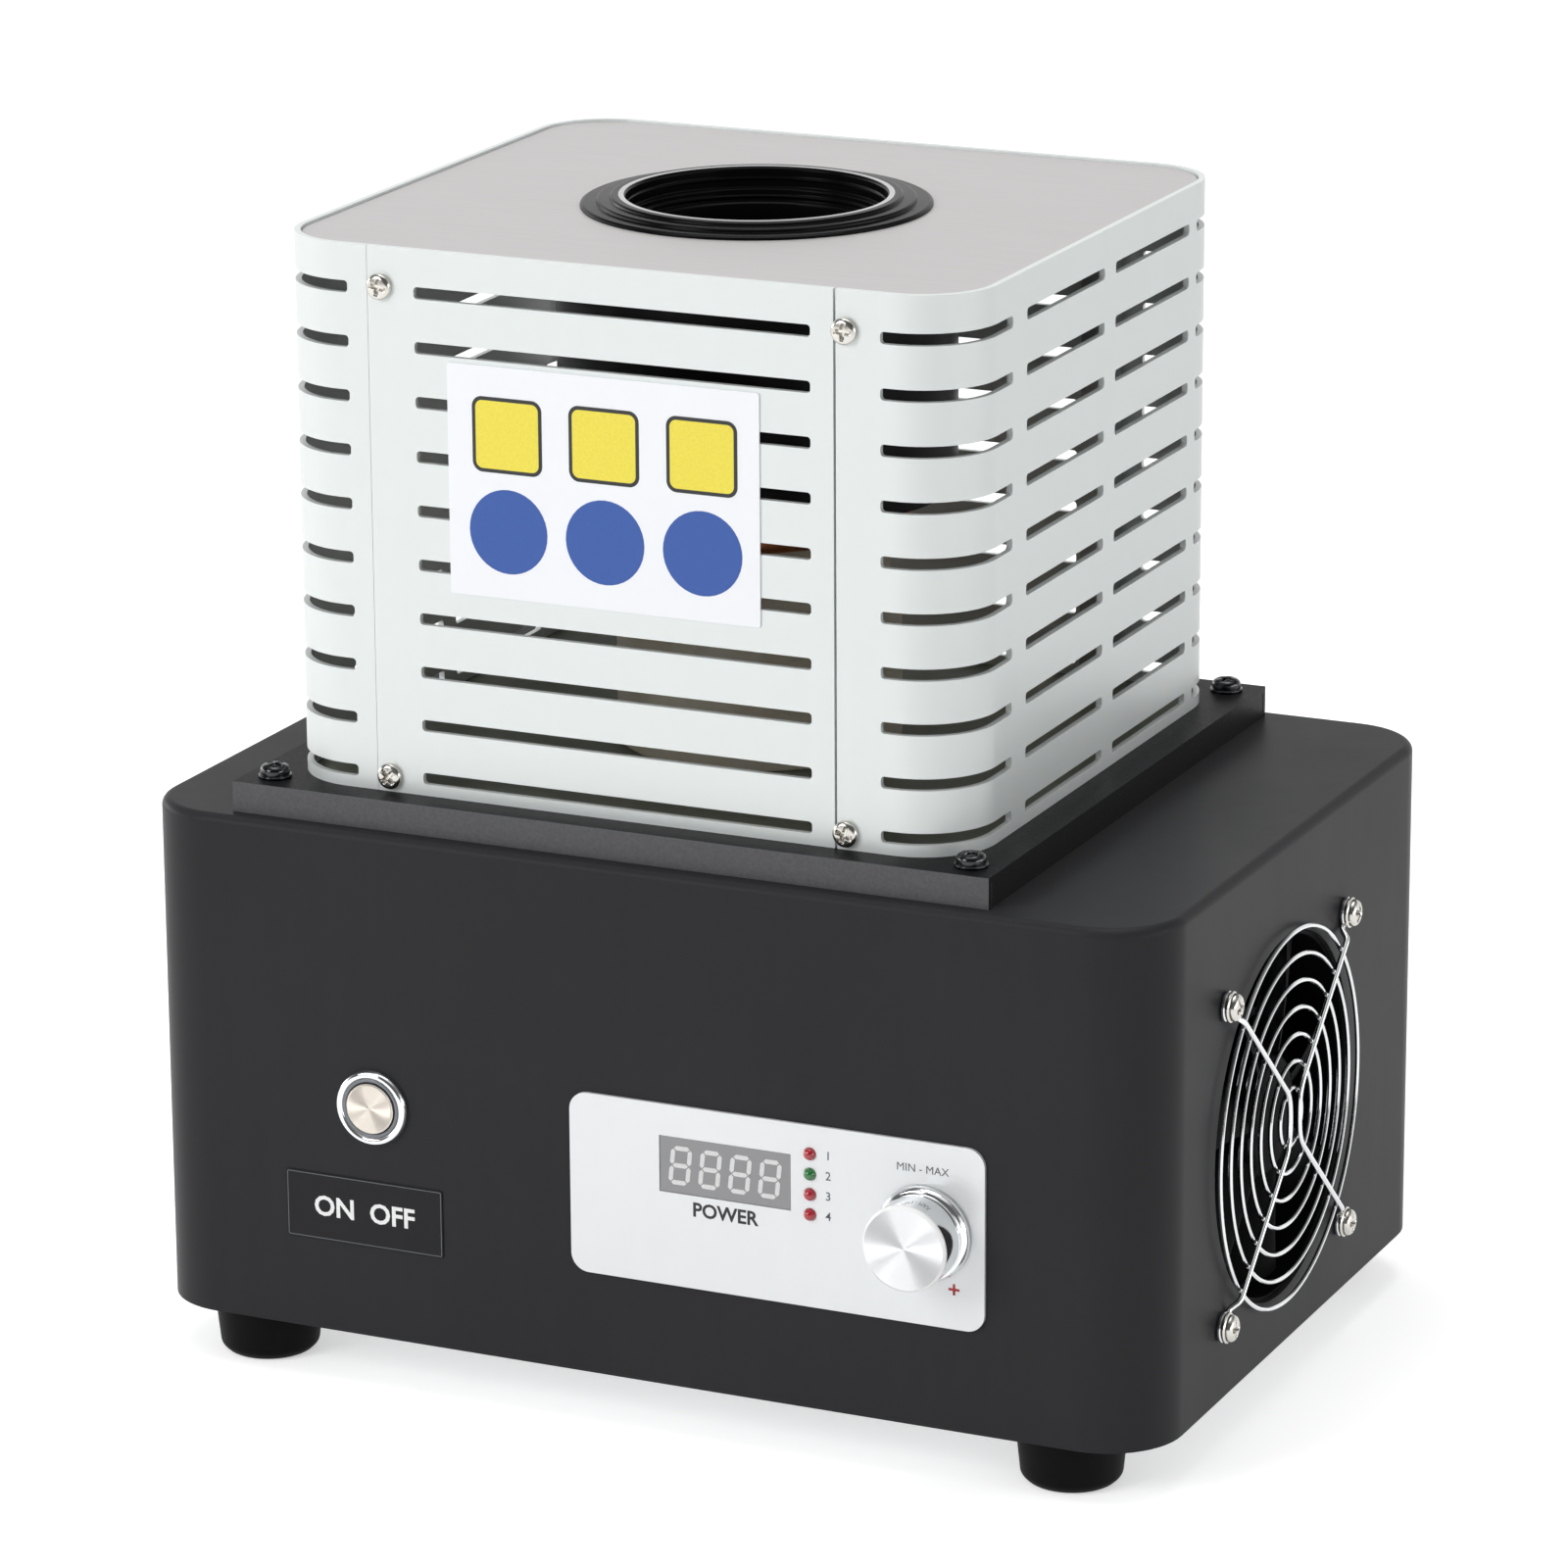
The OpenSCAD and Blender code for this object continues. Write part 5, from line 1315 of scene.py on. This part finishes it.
@dataclass
class Lettering:
    """Generic words, figures and signs, set flat on the front."""

    slot: str
    lift: float = 0.00005

    def write(
        self, name: str, text: str, size: float, at: Sequence[float], ink: Finish, bold: float = 0.0
    ) -> None:
        """Writes one line, centred on a point.

        The text is made a mesh first, and its points are then placed on the face.

        Args:
            name: Name of the piece.
            text: What it says.
            size: Height of a capital letter, roughly.
            at: Middle of the line, on the face.
            ink: Its finish.
            bold: How much each stroke is widened on both sides.
        """
        curve = bpy.data.curves.new(name, "FONT")
        curve.body, curve.align_x, curve.align_y = text, "CENTER", "CENTER"
        curve.size, curve.offset, curve.resolution_u = size * 1.4, bold, 3
        source = linked(name + "_source", curve)
        bpy.context.view_layer.update()
        shown = source.evaluated_get(bpy.context.evaluated_depsgraph_get())
        data = bpy.data.meshes.new_from_object(shown)
        bpy.data.objects.remove(source)
        flat = np.empty(len(data.vertices) * 3, np.float32)
        data.vertices.foreach_get("co", flat)
        flat = flat.reshape(-1, 3)
        flat[:, 2] = self.lift
        placed = Side.FRONT.place(flat.astype(float), at)
        data.vertices.foreach_set("co", placed.astype(np.float32).ravel())
        data.materials.clear()
        data.materials.append(ink.make())
        data.name = name
        piece(linked(name, data), "cabinet", slot=self.slot)


@dataclass
class ControlPanel:
    """The faceplate's lamps, digits, marks and knob, and the small sign under the push button."""

    lamp_pitch: float = 0.0066
    knob_height: float = 0.016
    pointer_angle: float = 212.0
    pointer_place: float = 0.0108
    line_width: float = 0.00028
    line_inset: float = 0.0004

    def lamps(self) -> None:
        """Makes four domed lamps, a green one under the first red one."""
        low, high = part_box("indicator_lamps")
        x, face = (low.x + high.x) / 2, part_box("control_faceplate")[0].y
        top = high.z - (high.x - low.x) / 2
        dome = tuple((2 * math.cos(a), 2 * math.sin(a)) for a in np.linspace(0, TAU / 4, 9))
        lens = TurnedPiece(Side.FRONT, ((0, -14.5), (2, -14.5), *dome), 0.0, 40)
        mesh = Mesh()
        for i in range(4):
            lens.add_to(mesh, (x, face, top - i * self.lamp_pitch), 1 if i == 1 else 0)
        made = mesh.build("domed_lamps", F.RED_LAMP, F.GREEN_LAMP)
        piece(made, "cabinet", "indicator_lamps")

    def knob(self) -> None:
        """Makes the knob: skirt, chromed side, white chamfer as painted highlight and spun face, in
        three finishes.
        """
        x, _, z = middle("knob_shaft")
        place = (x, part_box("power_knob")[0].y + self.knob_height, z)
        lines = (
            (((8, 0), (15.5, 0), (15.5, 1.6), (14.6, 3.0), (13.9, 3.2)), 0.0005, 0),
            (((13.9, 3.2), (13.7, 4.0), (13.9, 5.2), (14.0, 14.6)), 0.0003, 0),
            (((14.0, 14.6), (13.9, 15.3), (13.1, 16.0)), 0.0002, 2),
            (((13.1, 16.0), (9.0, 15.86), (4.5, 15.78), (0, 15.75)), 0.0, 1),
            (((3.0, 4.7), (8, 4.7), (8, 0)), 0.0, 0),
        )
        mesh = Mesh()
        for line, soft, slot in lines:
            TurnedPiece(Side.FRONT, line, soft, 128).add_to(mesh, place, slot)
        made = mesh.build("spun_knob", F.CHROME, F.SPUN_KNOB, F.FACE_EDGE_HIGHLIGHT, sharp=25.0)
        piece(made, "power_knob", "power_knob")
        angle = math.radians(self.pointer_angle)
        way = np.array([math.cos(angle), math.sin(angle)])
        bar = np.array([[-2.1, -0.32], [2.1, -0.32], [2.1, 0.32], [-2.1, 0.32]]) * MM
        flat = bar @ np.array([way, [-way[1], way[0]]]) + self.pointer_place * way
        ring = np.concatenate([flat, np.full((4, 1), self.knob_height + 0.00001)], axis=1)
        mark = Mesh().polygon(Side.FRONT.place(ring, place))
        piece(mark.build("knob_pointer", F.WHITE_INK), "power_knob", slot="spun_knob")

    def marks(self) -> None:
        """Writes the generic figures and signs on the faceplate.

        A row holds a name, a text, its size, the place that it belongs to, how far across and
        up from there it stands, its ink, and how much each stroke is widened.
        """
        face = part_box("control_faceplate")[0].y
        window, knob = middle("display_window"), middle("knob_shaft")
        _, lamp_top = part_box("indicator_lamps")
        lamp = (middle("indicator_lamps")[0], face, lamp_top.z)
        rows = [("power_word", "POWER", 0.0046, window, 0.0, -0.0139, F.BLACK_INK, 0.00016)]
        for i in range(4):
            name, up = f"lamp_figure_{i + 1}", -0.002 - self.lamp_pitch * i
            rows.append((name, str(i + 1), 0.0028, lamp, 0.0062, up, F.GREY_INK, 0.00003))
        rows += [
            ("knob_scale", "MIN - MAX", 0.0026, knob, -0.0008, 0.0203, F.GREY_INK, 0.0),
            ("knob_plus", "+", 0.0052, knob, 0.0097, -0.0176, F.RED_INK, 0.00012),
        ]
        words = Lettering("faceplate_white")
        for name, text, size, place, across, up, ink, bold in rows:
            at = (place[0] + across, face, place[2] + up)
            words.write(name, text, size, at, ink, bold)

    def sign(self) -> None:
        """Writes ON and OFF on the small sign and draws the thin line round it.

        The line is the strip between two outlines of a rectangle, one inside the other.
        """
        low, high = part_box("switch_label_plate")
        at = front("switch_label_plate")
        width, height = (size - 2 * self.line_inset for size in (high.x - low.x, high.z - low.z))
        profile = np.array([[0.0, 0.00003], [self.line_width, 0.00003]])
        strip = stacked_outlines(width, height, 0.0006, profile, 4)
        line = Mesh().grid(Side.FRONT.place(strip, at))
        piece(line.build("sign_line", F.GREY_INK), "cabinet", slot="sign_black")
        words = Lettering("sign_black")
        words.write("sign_words", "ON  OFF", 0.0066, at, F.WHITE_INK, 0.00022)

    def build(self) -> None:
        """Makes all of it."""
        self.lamps()
        self.knob()
        Display().build()
        self.marks()
        self.sign()


@dataclass
class PushButton:
    """The button's chromed bezel, grey light ring and spun cap."""

    face: float = -0.123

    def build(self) -> None:
        """Makes the three turned pieces about the button's axis."""
        x, _, z = middle("button_cap")
        bezel = (
            (9.85, -20), (11, -20), (11, 0), (12.5, 0), (12.5, 1.2), (11.9, 2.3), (11.1, 2.6),
            (10.3, 2.4), (9.85, 1.9),
        )
        ring = ((8.7, -6.8), (9.85, -6.8), (9.85, 2.0), (9.5, 2.2), (9.0, 2.2), (8.7, 2.0))
        cap = (
            (0, -15), (2, -15), (2, -1), (8.35, -1), (8.35, 2.5), (7.9, 3.0), (5.5, 2.93),
            (2.5, 2.86), (0, 2.85),
        )
        for name, profile, soft, hollow, finish, body, node in (
            ("button_collar", bezel, 0.0003, True, F.CHROME, "cabinet", "button_bezel"),
            ("button_glow_ring", ring, 0.0001, True, F.RING_GREY, "cabinet", "button_light_ring"),
            ("button_face", cap, 0.0002, False, F.SPUN_CAP, "button_cap", "button_cap"),
        ):
            shape = TurnedPiece(Side.FRONT, profile, soft, 96, hollow)
            shape.build(name, (x, self.face, z), finish, body, node)


@dataclass
class Fan:
    """One fan with its wire guard, screws and rotor. All is worked out in the face's own axes."""

    name: str
    side: Side
    y: float = -0.013
    z: float = 0.094
    wall: float = 0.175
    ring_count: int = 7
    ring_first: float = 0.0094
    ring_pitch: float = 0.0086
    ring_wire: float = 0.00075
    spoke_wire: float = 0.00095
    ring_gap: float = 0.0024
    spoke_gap: float = 0.0038
    corner: float = 0.0525
    loop: float = 0.004
    blades: int = 7
    hub: float = 0.019
    tip: float = 0.056
    blade_middle: float = -0.0125
    blade_reach: float = 0.0086

    @property
    def origin(self) -> tuple[float, float, float]:
        """The middle of the fan on the cabinet's side."""
        return (self.wall if self.side is Side.RIGHT else -self.wall, self.y, self.z)

    def wire(self, mesh: Mesh, path: Array, radius: float, sides: int, closed: bool) -> None:
        """Adds one wire of the guard.

        Args:
            mesh: The mesh that takes it.
            path: Its middle line.
            radius: Its radius.
            sides: Points round it.
            closed: Whether it is a ring. If not, its ends are capped.
        """
        grid = tube(path, radius, sides, (0, 0, 1), closed)
        mesh.grid(self.side.place(grid, self.origin), wrap_rows=closed, caps=not closed)

    def guard(self) -> None:
        """Makes the wire guard.

        A ring is a circle carried round a circle. A spoke is a bent line from the loop under one
        screw, up to the rings, in to its bend beside the middle, and out to the screw above or
        below: its corners are softened, and a circle is carried along it.
        """
        mesh = Mesh()
        circle = polar(1.0, np.linspace(0, TAU, 144, endpoint=False))
        for i in range(self.ring_count):
            path = (self.ring_first + i * self.ring_pitch) * circle + [0, 0, self.ring_gap]
            self.wire(mesh, path, self.ring_wire, 10, True)
        c, top, low = self.corner, self.spoke_gap, self.spoke_wire
        foot, bent, out = c - 0.0029, c - 0.0044, c - 0.0068
        bends = [0, 0.0011, 0.0013, 0.008]
        for s in (-1, 1):
            half = [
                [s * foot, foot, low], [s * bent, bent, low], [s * out, out, top],
                [s * 0.0048, 0.0088, top],
            ]
            corners = np.array([*half, [s * 0.0038, 0, top], *half[::-1]])
            corners[5:, 1] *= -1
            path = softened(corners, [*bends, 0.004, *bends[::-1]], 8)
            self.wire(mesh, path, self.spoke_wire, 12, False)
            for t in (-1, 1):
                path = self.loop * circle[::3] + [s * c, t * c, low]
                self.wire(mesh, path, self.spoke_wire, 10, True)
        piece(mesh.build(f"{self.name}_wire_guard", F.WIRE), "cabinet", f"{self.name}_guard")

    def rotor(self) -> None:
        """Makes the rotor: a hub with a soft rim, and blades.

        A blade's section is an oval of the chord's length bent along a parabola. From the hub to
        the tip the section turns from 46 to 28 degrees and sweeps forward along the circle.
        """
        hub = ((8, -21.5), (20, -21.5), (20, -5.5), (18, -3.5), (12, -3.2), (0, -3.2))
        axle = ((0, -25), (1.5, -25), (1.5, -21), (0, -21))
        inside = ((0, -5.5), (10.5, -5.5), (10.5, -21.5), (8, -21.5))
        mesh = Mesh()
        for profile, soft, steps in ((hub, 0.0012, 96), (axle, 0.0001, 24), (inside, 0.0005, 64)):
            TurnedPiece(self.side, profile, soft, steps).add_to(mesh, self.origin)
        share = np.linspace(0, 1, 12)[:, None]
        around = np.linspace(0, TAU, 32, endpoint=False)[None, :]
        radius = self.hub + share * (self.tip - self.hub)
        chord, thick = 0.0245 + 0.006 * share, 0.0009 - 0.0003 * share
        pitch = np.radians(46 - 18 * share)
        along = 0.5 * chord * np.cos(around)
        across = thick * np.sin(around) + 0.1 * chord * (1 - (2 * along / chord) ** 2)
        tangent = along * np.cos(pitch) - across * np.sin(pitch)
        height = along * np.sin(pitch) + across * np.cos(pitch)
        height = self.blade_middle + np.clip(height, -self.blade_reach, self.blade_reach)
        for k in range(self.blades):
            angle = TAU * k / self.blades + tangent / radius + 0.16 * share
            blade = polar(radius, angle, height)[:, ::-1]
            mesh.grid(self.side.place(blade, self.origin), caps=True)
        made = mesh.build(f"{self.name}_blades", F.ROTOR)
        piece(made, f"{self.name}_rotor", f"{self.name}_rotor")

    def screws(self, mesh: Mesh, rng: np.random.Generator) -> None:
        """Adds the four screws with their flanged heads.

        Args:
            mesh: The mesh that takes them.
            rng: Gives each cross its angle.
        """
        flange = ((2.2, 0), (5.0, 0), (5.0, 0.7), (4.3, 1.2), (2.2, 1.2))
        screw = Screw(0.0044, 0.0036, ((0, -27), (2.1, -27), (2.1, 0)), flange)
        for u in (-self.corner, self.corner):
            for v in (-self.corner, self.corner):
                place = self.side.place(np.array([u, v, 2 * self.spoke_wire]), self.origin)
                screw.add_to(mesh, self.side, place, rng)

    def build(self) -> None:
        """Makes the guard and the rotor."""
        self.guard()
        self.rotor()


@dataclass
class FillerCap:
    """The ribbed cap of the water filler on the back."""

    ribs: int = 30
    rib_depth: float = 0.0006
    ribs_from: float = 0.0185

    def build(self) -> None:
        """Makes the cap.

        It is turned like the others, but its radius also falls and rises round it: each point of
        the side is moved in by the rib's depth times the sine of the rib's phase, raised to zero or
        more.
        """
        low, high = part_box("filler_cap")
        x, _, z = middle("filler_cap")
        length = (high.y - low.y) / MM
        corners = np.array([
            (14.4, 0), (19.8, 0), (19.8, length - 1.5), (18.3, length), (12, length - 0.1),
            (11.4, length - 0.6), (0, length - 0.6),
        ]) * MM
        grid = revolved(softened(corners, 0.0008), 240)
        radius = np.linalg.norm(grid[..., :2], axis=-1)
        angle = np.arctan2(grid[..., 1], grid[..., 0])
        rib = self.rib_depth * np.clip(np.sin(self.ribs * angle) * 1.6, 0, 1)
        side = np.clip((radius - self.ribs_from) / 0.001, 0, 1)
        grid[..., :2] *= (1 - side * rib / np.maximum(radius, 1e-6))[..., None]
        mesh = Mesh().grid(Side.BACK.place(grid, (x, low.y, z)))
        inside = ((0, 6.4), (14.4, 6.4), (14.4, 0))
        TurnedPiece(Side.BACK, inside, 0.0004, 96).add_to(mesh, (x, low.y, z))
        piece(mesh.build("ribbed_cap", F.BLACK_PLASTIC), "filler_cap", "filler_cap")


# Room, light and camera


@dataclass
class Studio:
    """A white floor, a white room and soft light at a plain level."""

    ambient: float = 0.56
    dark_room: float = 0.12
    panel: float = 5.0
    floor_size: float = 14.0
    aim: float = 0.17
    lamps: tuple[tuple[str, Place, tuple[float, float], float], ...] = (
        ("front soft box", (-1.1, -1.9, 1.2), (1.0, 1.2), 21.0),
        ("top soft box", (-0.1, 0.2, 2.0), (1.3, 1.2), 13.0),
        ("side soft box", (2.0, 0.4, 0.9), (0.6, 1.3), 1.0),
    )

    def world(self) -> None:
        """Makes the room.

        It lights the furnace evenly. The camera sees it white, and so do metal and glass up to 21
        degrees above the floor at the back, under a darker band and a pale ceiling. In front of the
        furnace they see a dark room, and a bright low panel on either side.
        """
        world = bpy.data.worlds.new("room")
        bpy.context.scene.world = world
        world.use_nodes = True
        g = Nodes(world.node_tree)
        g.tree.nodes.clear()

        def smooth(value: Socket, start: float, stop: float) -> Socket:
            """Rises softly from zero at the start to one at the stop."""
            return g.span(value, start, stop, kind="SMOOTHSTEP")

        ray = g.node("ShaderNodeLightPath").outputs
        x, y, z = g.parts(g.node("ShaderNodeTexCoord").outputs["Generated"])
        height = g.node("ShaderNodeValToRGB", {"Fac": z})
        ramp = height.color_ramp
        ramp.interpolation = "EASE"
        ramp.elements[0].position, ramp.elements[0].color = 0.36, (1, 1, 1, 1)
        ramp.elements[1].position, ramp.elements[1].color = 0.95, (0.9, 0.9, 0.9, 1)
        for place, level in ((0.52, 0.22), (0.72, 0.22)):
            ramp.elements.new(place).color = (level, level, level, 1)
        in_front = g.math(
            "MULTIPLY", smooth(g.math("MULTIPLY", y, -1.0), 0.05, 0.35), smooth(z, 0.95, 0.8)
        )
        beside = g.math("MULTIPLY", smooth(g.math("ABSOLUTE", x), 0.82, 0.9), smooth(z, 0.3, 0.15))
        reflected = g.blend(in_front, height.outputs["Color"], (self.dark_room,) * 3)
        reflected = g.blend(beside, reflected, (self.panel,) * 3)
        shiny = g.math("MAXIMUM", ray["Is Glossy Ray"], ray["Is Transmission Ray"])
        lit = g.blend(shiny, (self.ambient,) * 3, reflected)
        seen = g.blend(ray["Is Camera Ray"], lit, (1.0, 1.0, 1.0))
        back = g.node("ShaderNodeBackground", {"Color": seen}).outputs["Background"]
        g.node("ShaderNodeOutputWorld", {"Surface": back})

    def lamp(self, name: str, at: Sequence[float], size: tuple[float, float], power: float) -> None:
        """Adds a soft rectangular lamp that looks at the furnace.

        Args:
            name: Name of the lamp.
            at: Where it stands.
            size: Its width and height.
            power: Its power in watts.
        """
        light = bpy.data.lights.new(name, "AREA")
        light.shape, light.size, light.size_y, light.energy = "RECTANGLE", *size, power
        made = linked(name, light)
        made.location = at
        way = Vector((0, 0, self.aim)) - Vector(at)
        made.rotation_euler = way.to_track_quat("-Z", "Y").to_euler()

    def build(self) -> None:
        """Makes the floor, the room and the lamps."""
        bpy.context.scene.view_settings.view_transform = "Standard"
        corners = np.array([[-1, -1, 0], [1, -1, 0], [1, 1, 0], [-1, 1, 0]]) * self.floor_size
        Mesh().polygon(corners).build("floor", F.FLOOR)
        self.world()
        for lamp in self.lamps:
            self.lamp(*lamp)


@dataclass
class Viewpoint:
    """The camera, where the photograph was taken from."""

    at: Place = (0.90506, -1.97424, 0.82194)
    azimuth: float = 24.716
    elevation: float = 16.489
    roll: float = -0.33
    lens: float = 160.7

    def build(self) -> None:
        """Makes the camera.

        Its forward axis follows from the azimuth and the elevation. Its right axis is level, and
        both it and the upward axis are then turned by the roll.
        """
        az, el, ro = (math.radians(a) for a in (self.azimuth, self.elevation, self.roll))
        ahead = math.cos(el)
        forward = np.array([-math.sin(az) * ahead, math.cos(az) * ahead, -math.sin(el)])
        level = unit(np.cross(forward, [0, 0, 1.0]))
        upward = np.cross(level, forward)
        right = math.cos(ro) * level + math.sin(ro) * upward
        up = -math.sin(ro) * level + math.cos(ro) * upward
        data = bpy.data.cameras.new("photograph")
        data.lens, data.sensor_width, data.clip_start, data.clip_end = self.lens, 36.0, 0.05, 60.0
        made = linked("photograph", data)
        turn = Matrix((right, up, -forward)).transposed().to_4x4()
        made.matrix_world = Matrix.Translation(self.at) @ turn
        bpy.context.scene.camera = made


def main() -> None:
    """Loads the frame, dresses it, makes the pieces and sets the scene."""
    logging.basicConfig(level=logging.INFO, format="%(name)s: %(message)s")
    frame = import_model()
    Viewpoint().build()
    Studio().build()
    for dressing in DRESSINGS:
        dressing.apply(frame["nodes"])
    rng = np.random.default_rng(7)
    Feet().build()
    Head().build()
    LabelPrint().build()
    ControlPanel().build()
    PushButton().build()
    FillerCap().build()
    StackScrews().build(rng)
    screws = Mesh()
    for fan in (Fan("right_fan", Side.RIGHT), Fan("left_fan", Side.LEFT)):
        fan.build()
        fan.screws(screws, rng)
    piece(screws.build("fan_pan_screws", F.NICKEL), "cabinet", "fan_screws")


if __name__ == "__main__":
    main()
